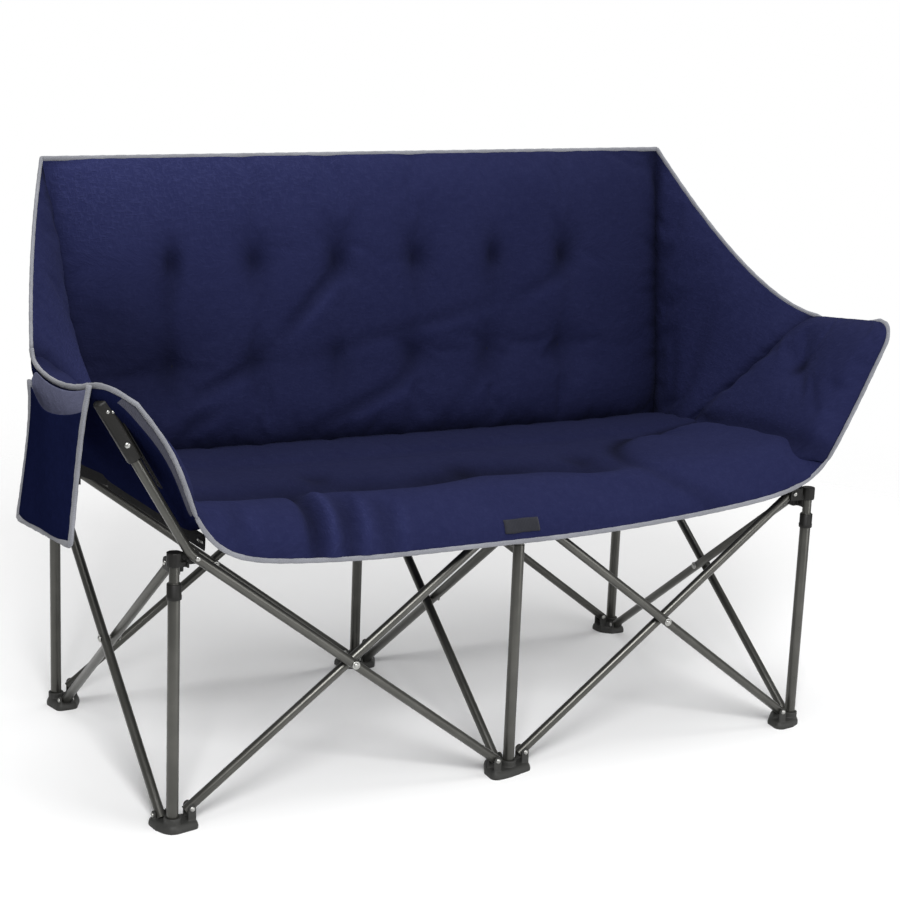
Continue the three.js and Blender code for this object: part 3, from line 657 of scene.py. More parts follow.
def straight_axis(node):
    """Low and high end of a straight tube, on the line along which its corners spread most."""
    corners = node_points(node)
    low, high = corners.min(axis=0), corners.max(axis=0)
    centre = (low + high) / 2
    direction = np.linalg.svd(corners - centre, full_matrices=False)[2][0]
    direction = direction * np.sign(direction[2])
    spread = (corners - centre) @ direction
    return centre + direction * spread.min(), centre + direction * spread.max()


def brace_names():
    """Names of the brace nodes."""
    return sorted(name for name in frame["nodes"] if name.endswith("_brace"))


def body_of_node(node):
    """Body that a frame node rides on."""
    return frame["nodes"][node]["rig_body"]


def joint_place(name):
    """Place of a joint of the frame."""
    return np.array(next(joint["pos_m"] for joint in frame["joints"] if joint["name"] == name))


def arm_pins(side):
    """Foot pin and hub pin of an arm brace."""
    foot = "fold" if side == "left" else "front_right_arm_turn"
    return joint_place(foot), joint_place(f"front_{side}_hub_level")


def arm_route(side):
    """Line of an arm brace: straight past its hub pin, round its bend and up to its tip."""
    sizes = bpy.context.scene.loveseat_frame
    foot_pin, hub_pin = arm_pins(side)
    way = unit(hub_pin - foot_pin)
    arm_way = np.array([SIDES[side] * math.cos(sizes.arm_slope), 0.0, math.sin(sizes.arm_slope)])
    corner = hub_pin + way * sizes.arm_bend_past_pin
    turn = math.acos(float(way @ arm_way))
    easing = sizes.arm_bend_radius * math.tan(turn / 2)
    share = np.linspace(0.0, 1.0, 9)
    into = between(corner - way * easing, corner, share)
    out_of = between(corner, corner + arm_way * easing, share)
    bend = between(into, out_of, share)
    tip = corner + arm_way * sizes.arm_length
    return np.concatenate([[foot_pin - way * sizes.brace_overhang], bend, [tip]])


def brace_ends(node):
    """Lower and upper pin of a brace."""
    sizes = bpy.context.scene.loveseat_frame
    if node.endswith("arm_brace"):
        return arm_pins(node.split("_")[1])
    low, high = straight_axis(node)
    way = unit(high - low)
    return low + way * sizes.brace_overhang, high - way * sizes.brace_overhang


def lipped(route, lip):
    """A route with extra points near its ends, so that a tube's lips are round there."""
    start = unit(route[1] - route[0])
    end = unit(route[-1] - route[-2])
    shares = np.array([0.0, 0.15, 0.5, 1.0])[:, None] * lip
    return np.concatenate([route[0] + start * shares, route[1:-1], route[-1] - end * shares[::-1]])


def stand_in(prefix, node, shell, material):
    """Piece in place of its frame node, on the same body, with the given material."""
    piece = add_piece(f"{prefix}_{node}", *shell, material)
    return carry(piece, body_of_node(node), material, node)


class LOVESEAT_OT_tubes(bpy.types.Operator):
    """Makes the posts, the telescoping tubes and the braces as smooth hollow tubes"""

    bl_idname = "loveseat.tubes"
    bl_label = "Tubes"

    def execute(self, context):
        sizes = context.scene.loveseat_frame
        for node in frame["nodes"]:
            if node.startswith(("post_", "inner_tube_")) or node.endswith("_brace"):
                self.add_tube(node, sizes)
        return {"FINISHED"}

    def add_tube(self, node, sizes):
        """One tube along the axis of its frame node."""
        low, high = node_box(node)
        if node.endswith("arm_brace"):
            route = arm_route(node.split("_")[1])
        else:
            route = np.array(straight_axis(node))
        span = high - low
        side = X_AXIS if span[0] < span[1] or node.startswith(("post_", "inner")) else Y_AXIS
        radius = float(span @ side) / 2
        route = lipped(route, sizes.tube_lip)
        shell = hollow_tube(route, side, radius, sizes.tube_wall, sizes.tube_lip, sizes.tube_sides)
        stand_in("tube", node, shell, "tube_paint")


FLAT_TO_FLOOR = 0.0012  # a moulding's points below this height are set on the floor
SAME_PLACE = 1e-5
SMOOTH_SHARE = 0.5
SOLE_INSET = 0.002  # upper rim of a sole inside its foot


def moulded_copy(node, sole=False):
    """A frame node's solid with its edges rounded as in a mould, on a flared sole if it is a foot."""
    sizes = bpy.context.scene.loveseat_frame
    mesh = frame["nodes"][node].data.copy()
    shell = bmesh.new()
    shell.from_mesh(mesh)
    bmesh.ops.remove_doubles(shell, verts=shell.verts, dist=SAME_PLACE)
    if sole:
        add_sole(shell, node, sizes)
    shell.to_mesh(mesh)
    shell.free()
    blank = bpy.data.objects.new("blank", mesh)
    bpy.context.scene.collection.objects.link(blank)
    remesh = blank.modifiers.new("Detail", "REMESH")
    remesh.mode = "VOXEL"
    remesh.voxel_size = sizes.grain
    smooth = blank.modifiers.new("Rounding", "SMOOTH")
    smooth.iterations = sizes.rounding
    smooth.factor = SMOOTH_SHARE
    bpy.context.view_layer.update()
    finer = bpy.data.meshes.new_from_object(blank.evaluated_get(bpy.context.evaluated_depsgraph_get()))
    bpy.data.objects.remove(blank)
    bpy.data.meshes.remove(mesh)
    points = mesh_points(finer)
    points[:, 2] = np.where(points[:, 2] < FLAT_TO_FLOOR, 0.0, points[:, 2])
    finer.vertices.foreach_set("co", points.ravel())
    finer.update()
    finer.shade_smooth()
    finer.materials.clear()
    return finer


def add_sole(shell, node, sizes):
    """Adds a foot's sole: the hull of its plan, widest at the floor and drawn in towards its upper rim."""
    plan = node_points(node)[:, :2]
    middle = (plan.min(axis=0) + plan.max(axis=0)) / 2
    plan = plan - unit(plan - middle) * sizes.foot_corner
    angle = round_angles(16)
    circle = np.stack([np.cos(angle), np.sin(angle)], axis=1)
    flare = sizes.foot_flare
    rings = []
    for out, up in (flare, 0.0), (flare, 0.4), (0.4 * flare, 0.8), (-SOLE_INSET, 1.0):
        ring = (plan[:, None] + circle * (sizes.foot_corner + out)).reshape(-1, 2)
        rings.append(np.column_stack([ring, np.full(len(ring), sizes.foot_skirt * up)]))
    corners = [shell.verts.new(place) for place in np.concatenate(rings).tolist()]
    hull = bmesh.ops.convex_hull(shell, input=corners)
    left_over = set(hull["geom_interior"] + hull["geom_unused"])
    spare = [item for item in left_over if isinstance(item, bmesh.types.BMVert)]
    bmesh.ops.delete(shell, geom=spare, context="VERTS")


class LOVESEAT_OT_mouldings(bpy.types.Operator):
    """Makes the feet, hubs and sliders as mouldings with rounded edges"""

    bl_idname = "loveseat.mouldings"
    bl_label = "Feet, hubs and sliders"

    def execute(self, context):
        for node in frame["nodes"]:
            if node.startswith("foot_"):
                self.add_moulding(node, "foot_plastic")
            elif node.startswith(("hub_", "slider_")):
                self.add_moulding(node, "hub_plastic")
        return {"FINISHED"}

    def add_moulding(self, node, material):
        """One moulding in place of its frame node."""
        mesh = moulded_copy(node, material == "foot_plastic")
        mesh.materials.append(finish(material))
        piece = bpy.data.objects.new(f"moulded_{node}", mesh)
        bpy.context.scene.collection.objects.link(piece)
        carry(piece, body_of_node(node), material, node)


COLLAR_INSET = 0.0008
COLLAR_WALL = 0.0015
COLLAR_BAND = 0.0006
PLUG_STEP = 0.0017
PLUG_HEAD = 0.003
SLEEVE_HALF = 0.0105
SLEEVE_SQUARENESS = 0.62
STRAP_REACH = (-0.15, -0.004)  # ends of the arm's strap, counted from the tip of the tube
STRAP_HALF = (0.0105, 0.0011)  # half width and half thickness
STRAP_GAP = 0.0006
# Section of an arm's sleeve: places along the tube, counted from its tip, and shares of its half width there
SLEEVE_SECTION = (
    (-0.095, 0.94), (-0.093, 1.0), (-0.055, 1.0), (-0.03, 1.02), (0.0, 1.04), (0.0025, 1.0), (0.0042, 0.8),
    (0.0046, 0.3),
)
# Screws of an arm's sleeve: place along the tube, place outward, radius and height of the head
SLEEVE_SCREWS = (
    (-0.012, 0.0, 0.0028, 0.0016),
    (-0.016, 0.006, 0.0024, 0.0014),
    (-0.068, 0.0, 0.0046, 0.0022),
)


class LOVESEAT_OT_end_fittings(bpy.types.Operator):
    """Makes the collars of the front posts, the plugs of the rear posts and the sleeves of the arms"""

    bl_idname = "loveseat.end_fittings"
    bl_label = "Collars, plugs and sleeves"

    def execute(self, context):
        for side in SIDES:
            self.add_collar(f"collar_front_{side}")
            self.add_sleeve(side)
        for column in COLUMNS:
            self.add_plug(f"plug_rear_{column}")
        return {"FINISHED"}

    def upright(self, node):
        """Middle of the foot, half width and height of a fitting."""
        low, high = node_box(node)
        return np.append((low + high)[:2] / 2, low[2]), (high - low)[0] / 2, high[2] - low[2]

    def add_collar(self, node):
        """Collar: a ring with rounded rims and a raised band at its foot, turned round its post."""
        axis, half, height = self.upright(node)
        outer = half - COLLAR_INSET
        inner = outer - COLLAR_WALL
        band = outer + COLLAR_BAND
        profile = [
            (inner, 0.0), (band - COLLAR_BAND, 0.0), (band, 0.0007), (band, 0.006), (outer, 0.0072),
            (outer, height - 0.0012), (outer - 0.001, height), (inner, height), (inner, 0.0),
        ]
        points = turned(profile, axis, Z_AXIS, TURNED_SIDES)[0]
        faces = grid_quads(len(profile) - 1, TURNED_SIDES, True, True).tolist()
        stand_in("turned", node, (points[:-1], faces), "hub_plastic")

    def add_plug(self, node):
        """Plug: a stem in the post under a low mushroom head."""
        axis, head, height = self.upright(node)
        stem = head - PLUG_STEP
        seat = height - PLUG_HEAD
        profile = [
            (stem - 0.001, 0.0), (stem, 0.001), (stem, seat), (head, seat), (head + 0.0004, seat + 0.001),
            (head - 0.0006, height - 0.0008), (head - 0.003, height), (0.0005, height + 0.0004),
        ]
        stand_in("turned", node, turned(profile, axis, Z_AXIS, TURNED_SIDES), "hub_plastic")

    def add_sleeve(self, side):
        """Sleeve: a rounded box section carried up the end of the arm tube, with screws and a strap."""
        node = f"arm_sleeve_{side}"
        body = body_of_node(node)
        route = arm_route(side)
        tip, way = route[-1], unit(route[-1] - route[-2])
        along, widths = np.transpose(SLEEVE_SECTION)
        widths = SLEEVE_HALF * widths
        section = (widths, widths, TURNED_SIDES, SLEEVE_SQUARENESS)
        stand_in("swept", node, solid_sweep(tip + along[:, None] * way, Y_AXIS, *section), "hub_plastic")
        out = np.cross(Y_AXIS, way) * -SIDES[side]
        front = tip - SLEEVE_HALF * Y_AXIS
        heads = [
            domed_head(front + way * up + out * aside, -Y_AXIS, radius, height)
            for up, aside, radius, height in SLEEVE_SCREWS
        ]
        screws = add_piece(f"sleeve_screws_{side}", *joined(heads), "rivet_steel")
        carry(screws, body, "rivet_steel")
        inward = mirrored(arm_normal(), side)
        route = tip + way * np.linspace(*STRAP_REACH, 24)[:, None] + inward * (SLEEVE_HALF + STRAP_GAP)
        add_strap(f"arm_strap_{side}", route, Y_AXIS, STRAP_HALF, body)


RIVET_SHANK = 0.0024
WASHER_HEIGHT = 0.001
WASHER = ((0.0062, 0.0), (0.0065, 0.0003), (0.0065, 0.0008), (0.0055, WASHER_HEIGHT))


class LOVESEAT_OT_rivets(bpy.types.Operator):
    """Makes the rivets of the crossed braces and the heads of the pivot pins"""

    bl_idname = "loveseat.rivets"
    bl_label = "Rivets and pins"

    def execute(self, context):
        sizes = context.scene.loveseat_frame
        for node in frame["nodes"]:
            if node.startswith("rivet_"):
                self.add_rivet(node, sizes)
        self.add_pin_heads(sizes)
        return {"FINISHED"}

    def add_rivet(self, node, sizes):
        """Rivet through a crossed pair: a shank with a domed head and a washer at each end."""
        low, high = node_box(node)
        centre = (low + high) / 2
        axis = Y_AXIS if (high - low)[1] > (high - low)[0] else X_AXIS
        reach = float((high - low) @ axis) / 2 - 0.002
        shells = [turned([(RIVET_SHANK, -reach), (RIVET_SHANK, reach)], centre, axis, 16)]
        for way in (axis, -axis):
            end = centre + way * reach
            shells.append(turned(WASHER, end, way, 24))
            head = end + way * WASHER_HEIGHT
            shells.append(domed_head(head, way, sizes.rivet_radius, sizes.rivet_height))
        stand_in("turned", node, joined(shells), "rivet_steel")

    def add_pin_heads(self, sizes):
        """Domed heads on both cheeks of every clevis, one piece for each moulding."""
        heads = {}
        for node in brace_names():
            span = np.subtract(*node_box(node)[::-1])
            axis = Y_AXIS if span[0] > span[1] else X_AXIS
            for pin in brace_ends(node):
                body = self.holder(pin)
                opened = node.endswith("arm_brace") and pin[2] > LOW_PINS
                open_way = SIDES[node.split("_")[1]] if opened else 0.0
                for way in (1.0, -1.0):
                    reach = sizes.open_half if way == open_way else sizes.clevis_half
                    place = pin + axis * way * reach
                    head = domed_head(place, axis * way, sizes.rivet_radius, sizes.rivet_height)
                    heads.setdefault(body, []).append(head)
        for body, shells in heads.items():
            carry(add_piece(f"pin_heads_{body}", *joined(shells), "rivet_steel"), body, "rivet_steel")

    def holder(self, pin):
        """Body of the foot, hub or slider whose post is nearest to a pin."""
        posts = {f"{row}_{column}": post_axis(f"{row}_{column}") for row in ROWS for column in COLUMNS}
        nearest = min(posts, key=lambda post: np.hypot(*(posts[post] - pin[:2])))
        if pin[2] < LOW_PINS:
            return f"{nearest}_foot"
        return f"{nearest}_hub" if nearest.startswith("front") else f"{nearest}_slider"


# Cover


SHADE_RANGE = (-0.8, 0.9)
SWELL_FRAMES = 20
LEAST_DISTANCE = 1e-9  # keeps a division by a distance from failing
CLOTH_SETTINGS = {
    "quality": 5,
    "mass": 0.3,
    "tension_stiffness": 12,
    "compression_stiffness": 12,
    "shear_stiffness": 6,
    "bending_stiffness": 0.6,
    "air_damping": 2,
    "use_pressure": True,
    "uniform_pressure_force": 4.0,
    "vertex_group_mass": "held",
}


def pad_shell(inner, outer):
    """An inner and an outer grid of points, joined along their rims into one closed skin."""
    rows, columns = inner.shape[:2]
    count = rows * columns
    facing = grid_quads(rows, columns)
    index = np.arange(count).reshape(rows, columns)
    rim = np.concatenate([index[0, :-1], index[:-1, -1], index[-1, :0:-1], index[:0:-1, 0]])
    following = np.roll(rim, -1)
    edge = np.stack([rim, rim + count, following + count, following], axis=1)
    points = np.concatenate([inner.reshape(-1, 3), outer.reshape(-1, 3)])
    return points, np.concatenate([facing, count + facing[:, ::-1], edge])


def cloth_places(base):
    """Places on the flat cloth: the distance along the rows and along the columns of a grid, in metres."""
    across = np.linalg.norm(np.diff(base, axis=1), axis=2)
    along = np.linalg.norm(np.diff(base, axis=0), axis=2)
    across = np.pad(np.cumsum(across, axis=1), ((0, 0), (1, 0)))
    along = np.pad(np.cumsum(along, axis=0), ((1, 0), (0, 0)))
    middle = across[:, across.shape[1] // 2][:, None]
    return np.stack([across - middle, along], axis=2)


def add_shell(name, inner, outer, shade=0.0, outer_shade=0.0, material="cover_cloth"):
    """Closed padded piece from its face and its back; a shade attribute paints light and shade into its
    colour, and a cover piece's back takes the outer cloth, darkened as painted shade.
    """
    points, faces = pad_shell(inner, outer)
    places = cloth_places(inner)
    piece = add_piece(name, points, faces.tolist(), material, np.concatenate([places, places]))
    if material == "cover_cloth":
        # The outer faces take the darker outer cloth as painted shade.
        piece.data.materials.append(finish("outer_cloth"))
        turned_out = np.arange(len(faces)) >= (inner.shape[0] - 1) * (inner.shape[1] - 1)
        piece.data.polygons.foreach_set("material_index", turned_out.astype(np.int32))
    # Painted light and shade for the face and for the back, read by the cloth's colour.
    both = (np.clip(shade, *SHADE_RANGE), outer_shade)
    shades = np.concatenate([np.broadcast_to(side, inner.shape[:2]).ravel() for side in both])
    shades = shades.astype(np.float32)
    piece.data.attributes.new("shade", "FLOAT", "POINT").data.foreach_set("value", shades)
    return piece


def swell(piece, held, cap, growth):
    """Lets the cloth grow and swell with the held points pinned, each point within the cap of its start."""
    scene = bpy.context.scene
    group = piece.vertex_groups.new(name="held")
    group.add(np.flatnonzero(held).tolist(), 1.0, "REPLACE")
    cloth = piece.modifiers.new("Swell", "CLOTH")
    for name, value in CLOTH_SETTINGS.items():
        setattr(cloth.settings, name, value)
    cloth.settings.shrink_min = -growth
    cloth.settings.effector_weights.gravity = 0
    for number in range(1, SWELL_FRAMES + 1):
        scene.frame_set(number)
    start = mesh_points(piece.data)
    moved = mesh_points(piece.evaluated_get(bpy.context.evaluated_depsgraph_get()).data) - start
    piece.modifiers.remove(cloth)
    piece.vertex_groups.remove(group)
    distance = np.maximum(np.linalg.norm(moved, axis=1, keepdims=True), LEAST_DISTANCE)
    settled = start + moved * np.tanh(distance / cap) * cap / distance
    piece.data.vertices.foreach_set("co", settled.ravel())
    piece.data.update()
    scene.frame_set(1)


def mesh_points(mesh):
    """Points of a mesh."""
    points = np.zeros(len(mesh.vertices) * 3, np.float32)
    mesh.vertices.foreach_get("co", points)
    return points.reshape(-1, 3)


def held_points(rows, columns, drawn_in=None):
    """True for the points of a pad on its rim, on its back and where it is drawn in."""
    held = np.zeros((rows, columns), bool)
    held[[0, -1]] = True
    held[:, [0, -1]] = True
    if drawn_in is not None:
        held |= drawn_in
    return np.concatenate([held.ravel(), np.ones(rows * columns, bool)])


def subdivide(piece):
    """One level of subdivision, so that the cloth is smooth."""
    modifier = piece.modifiers.new("Smooth", "SUBSURF")
    modifier.levels = 1
    modifier.render_levels = 1


def dress(piece, body, node, gather):
    """Finishes a padded piece: smooth, on its body and for its frame node."""
    subdivide(piece)
    carry(piece, body, "cover_fabric", node)
    fold_squash(piece, *gather)


def cover_place(name, side="right"):
    """A place of the cover, on its right-hand half, where the two sides may differ."""
    sizes = bpy.context.scene.loveseat_cover
    return np.array(getattr(sizes, name) if hasattr(sizes, name) else getattr(sizes, f"{name}_{side}"), float)


def mirrored(points, side):
    """Points of the right-hand half on the named side."""
    return points * np.array([SIDES[side], 1.0, 1.0])


def counted(distance, step):
    """How many points an even step gives over a distance."""
    return int(round(distance / step)) + 1


def pinched(distance, reach, least=0.0):
    """One inside a panel, falling along a quarter circle to the least share at its edge."""
    return least + (1 - least) * rounded(distance, reach)


def thinned(*edges):
    """Share of the padding left near some edges, each a distance from it, a reach and a least share."""
    share = 1.0
    for distance, reach, least in edges:
        share = share * pinched(distance, reach, least)
    return share


def tape_map(route, sides):
    """Map of a tape in metres: the distance along it, and round it."""
    around = np.linspace(0, TAPE_GIRTH, sides)
    return np.stack(np.broadcast_arrays(run_length(route)[:, None], around), axis=2)


def add_strap(name, route, side, half, body):
    """Flat strap of black webbing along a route, from its half width and half thickness."""
    shell = solid_sweep(route, side, *half, STRAP_SIDES, STRAP_SQUARENESS)
    piece = add_piece(name, *shell, "black_webbing", tape_map(route, STRAP_SIDES))
    return carry(piece, body, "cover_fabric")


def valley(x, z, line, width):
    """Bell-shaped valley along a row of places, fading out towards both of its ends."""
    knots = np.array(line)
    route = spaced(knots, run_length(knots)[-1] / 40)
    away = np.hypot(x[..., None] - route[:, 0], z[..., None] - route[:, 1])
    share = away.argmin(axis=-1) / (len(route) - 1)
    return bell(away.min(axis=-1), width) * np.sin(math.pi * (0.12 + 0.84 * share)) ** 0.7


def fold_squash(piece, axis, anchor, keep):
    """Gives a soft piece a mesh of its own."""
    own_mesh(piece)


# Shares of their width meant for the cover and its seat when the frame is folded
GATHER = 0.289
SEAT_KEEP = 0.13
BACK_GATHER = (X_AXIS, (0.0, REAR_Y, 0.0), GATHER)
ARM_GATHER = (Y_AXIS, (0.0, FRONT_Y, 0.0), GATHER)
SEAT_GATHER = (X_AXIS, (0.0, 0.0, 0.0), SEAT_KEEP)


def back_corner(side):
    """Upper corner of the back on the named side, as a place of the right-hand half."""
    tilt = bpy.context.scene.loveseat_cover.back_tilt
    return cover_place("back_top") + Z_AXIS * tilt * SIDES[side]


def back_base(across, up):
    """Face of the back without padding: straight across, leaning back, its top edge a little tilted."""
    sizes = bpy.context.scene.loveseat_cover
    left, right = (between(cover_place("back_foot", side), cover_place("back_top"), up) for side in SIDES)
    edge = np.where((across < 0)[..., None], left, right)
    points = edge * np.stack([across, np.ones_like(across), np.ones_like(across)], axis=-1)
    return points + Z_AXIS * (sizes.back_tilt * across * up)[..., None]


def tuft_places():
    """Across and height of the tufts: one array of places for each row."""
    sizes = bpy.context.scene.loveseat_cover
    number = np.arange(sizes.tuft_count) - (sizes.tuft_count - 1) / 2
    rows = zip(sizes.tuft_rows, sizes.tuft_pitches, sizes.tuft_shifts)
    return [
        np.stack([shift + number * pitch, np.full(len(number), height)], axis=1)
        for height, pitch, shift in rows
    ]


TUFT_CORE = 0.93  # share of a tuft's dip above which its cloth is held
# Painted light on the back's outer face, lifting the darkened outer cloth there.
BACK_OUTER_SHADE = 0.6
STITCH_HALF_WIDTH = 0.0014
STITCH_HALF_LENGTH = 0.0055
# Creases of the back: how strong each is, and the places across and up that it runs through
BACK_CREASES = (
    (0.9, (-0.096, 0.747), (-0.121, 0.722), (-0.199, 0.640)),
    (0.3, (-0.091, 0.759), (-0.064, 0.818)),
    (0.4, (-0.390, 0.791), (-0.391, 0.738), (-0.405, 0.690), (-0.396, 0.583)),
    (0.4, (0.199, 0.677), (0.060, 0.645), (-0.078, 0.614), (-0.183, 0.589)),
    (0.4, (0.368, 0.753), (0.332, 0.718), (0.246, 0.680)),
    (0.2, (0.368, 0.757), (0.400, 0.807)),
    (0.5, (-0.246, 0.596), (-0.322, 0.563), (-0.381, 0.537)),
    (0.7, (0.048, 0.586), (0.007, 0.545), (-0.122, 0.492), (-0.170, 0.469)),
    (0.2, (0.190, 0.571), (0.147, 0.528), (0.105, 0.495)),
    (0.4, (-0.540, 0.695), (-0.466, 0.652)),
    (0.5, (-0.333, 0.518), (-0.396, 0.485)),
)


class LOVESEAT_OT_back(bpy.types.Operator):
    """Makes the tufted back, the stitches of its tufts and the sleeves that hold it on the posts"""

    bl_idname = "loveseat.back"
    bl_label = "Back"

    def execute(self, context):
        sizes = context.scene.loveseat_cover
        foot, top = cover_place("back_foot"), cover_place("back_top")
        columns = counted(2 * top[0], sizes.step)
        rows = counted(np.linalg.norm(top - foot), sizes.step)
        across, up = np.meshgrid(np.linspace(-1.004, 1.004, columns), np.linspace(0, 1, rows))
        base = back_base(across, up)
        normal = unit(np.cross(X_AXIS, top - foot))
        lift, dips, shade = self.padding(base, across, up, sizes)
        aside, below, above = self.distances(base, across, up)
        round_in = sizes.edge_round
        edges = thinned((aside, round_in, 0), (below, round_in, 0), (above, sizes.bound_round, 0))
        drop = sizes.rim * edges + sizes.seam_half
        faces = (base + normal * lift[..., None], base - normal * drop[..., None])
        piece = add_shell("back_cushion", *faces, shade, BACK_OUTER_SHADE)
        swell(piece, held_points(rows, columns, dips > TUFT_CORE), cap=0.010, growth=0.03)
        dress(piece, "rear_mid_foot", "back_panel", BACK_GATHER)
        self.add_stitches(base, normal, lift, sizes)
        for column in COLUMNS:
            self.add_post_sleeve(column)
        return {"FINISHED"}

    def distances(self, base, across, up):
        """Distances from the sides, from the foot and from the top of the back."""
        height = base[-1, 0, 2] - base[0, 0, 2]
        return np.maximum(1 - np.abs(across), 0) * base[..., 0].max(), up * height, (1 - up) * height

    def padding(self, base, across, up, sizes):
        """Lift of the face: a broad crown, fuller above the seat, drawn in at the tufts and creased; also the
        tufts' held points and the face's painted light and shade.
        """
        x, z = base[..., 0], base[..., 2]
        crown = (1 - across ** 8) * (1 - np.clip(2 * up - 1, 0, 1) ** 5)
        lower, upper = tuft_places()
        dips, depth, tuft_shade = np.zeros_like(x), np.zeros_like(x), np.zeros_like(x)
        for row, strength in (lower, 0.6), (upper, 1.0):
            for tuft_x, tuft_z in row:
                dip = bell(np.hypot((x - tuft_x) * 1.4, (z - tuft_z) * 0.75), sizes.tuft_radius)
                dips, depth = np.maximum(dips, dip), np.maximum(depth, dip * strength)
                around = bell(np.hypot((x - tuft_x + 0.006) * 1.3, (z - tuft_z + 0.004) * 0.7), 0.034)
                tuft_shade = np.maximum(tuft_shade, around * strength)
        pulls, ridges = np.zeros_like(x), np.zeros_like(x)
        for strength, *line in BACK_CREASES:
            pulls = np.maximum(pulls, strength * valley(x, z, line, 0.014))
            ridges = np.maximum(ridges, strength * valley(x - 0.016, z + 0.012, line, 0.012))
        plump = 0.012 * bell(z - 0.515, 0.055) * (1 - across ** 8)
        draw = sizes.tuft_depth * depth + sizes.pull_depth * (pulls - 0.45 * ridges)
        lift = (sizes.back_crown - draw) * crown + plump
        aside, below, above = self.distances(base, across, up)
        edges = thinned((aside, sizes.edge_round, 0.15), (below, sizes.edge_round, 0.4))
        # Painted light on the upper left of the back and painted shade elsewhere: in and round the tufts,
        # along the creases, at the foot and sides and in a patch low on the left, with painted highlights on
        # the ridges beside the creases.
        lit = np.clip(1.4 * up - 0.4, 0, 1) * (0.5 - 0.5 * across)
        shade = 0.75 * lit - 0.22 - 0.25 * depth ** 3 - 0.3 * tuft_shade - 0.3 * pulls + 0.2 * ridges
        shade = shade - 0.45 * bell(below, 0.03) - 0.4 * bell(aside, 0.02)
        shade = shade - 0.35 * bell(x + 0.50, 0.13) * bell(z - 0.63, 0.12)
        return lift * edges * pinched(above, sizes.bound_round) + sizes.seam_half, dips, shade

    def add_stitches(self, base, normal, lift, sizes):
        """Short bar of thread across the bottom of each tuft, and one behind it on the back of the panel."""
        ends = np.linspace(-1, 1, 7)[:, None]
        width = STITCH_HALF_WIDTH * np.sqrt(np.clip(1.05 - ends[:, 0] ** 2, 0.05, 1.0))
        shells = []
        for tuft in np.concatenate(tuft_places()):
            away = np.hypot(base[..., 0] - tuft[0], base[..., 2] - tuft[1])
            place = np.unravel_index(away.argmin(), away.shape)
            for offset in (lift[place] + 0.0006, -sizes.rim - sizes.seam_half - 0.0004):
                route = base[place] + normal * offset + ends * Z_AXIS * STITCH_HALF_LENGTH
                shells.append(solid_sweep(route, X_AXIS, width, width, 10))
        piece = add_piece("tuft_stitches", *joined(shells), "black_webbing")
        carry(piece, "rear_mid_foot", "cover_fabric")
        fold_squash(piece, *BACK_GATHER)

    def add_post_sleeve(self, column):
        """Sleeve sewn behind the back, over the top of a rear post: a ring profile closed at its top."""
        low, high = node_box(f"plug_rear_{column}")
        axis = np.append(post_axis(f"rear_{column}"), high[2])
        radius = (high - low)[0] / 2 + 0.0016
        profile = [
            (radius - 0.0008, -0.120), (radius + 0.0022, -0.120), (radius + 0.0024, -0.113),
            (radius + 0.0012, -0.108), (radius, -0.06), (radius + 0.0006, -0.03), (radius, -0.006),
            (radius - 0.003, 0.0016), (0.0005, 0.0028),
        ]
        piece = add_piece(f"post_sleeve_{column}", *turned(profile, axis, Z_AXIS, 36), "black_webbing")
        carry(piece, f"rear_{column}_foot", "cover_fabric")


def wing_edge(share, side):
    """Bound edge of a wing, from the back's corner to the arm's corner, as a quadratic curve."""
    start, pull, end = back_corner(side), cover_place("wing_pull", side), cover_place("arm_rear", side)
    return between(between(start, pull, share), between(pull, end, share), share)


def wing_base(along, up, side):
    """Face of a wing: straight lines from its foot up to its bound edge."""
    foot = between(cover_place("back_foot", side), cover_place("wing_foot"), along)
    return between(foot, wing_edge(along, side), up)


def wing_normal():
    """Direction from the right wing towards the sitter."""
    foot = cover_place("back_foot")
    return unit(np.cross(cover_place("arm_rear") - foot, cover_place("back_top") - foot))


def wing_gather(side):
    """Direction, anchor and share of the wing's gathering: level, towards its rear post."""
    way = cover_place("arm_rear", side) - cover_place("back_top")
    way[2] = 0.0
    return mirrored(unit(way), side), mirrored(cover_place("back_foot", side), side), 0.3


WING_SPAN = (0.42, 0.44)  # along and up


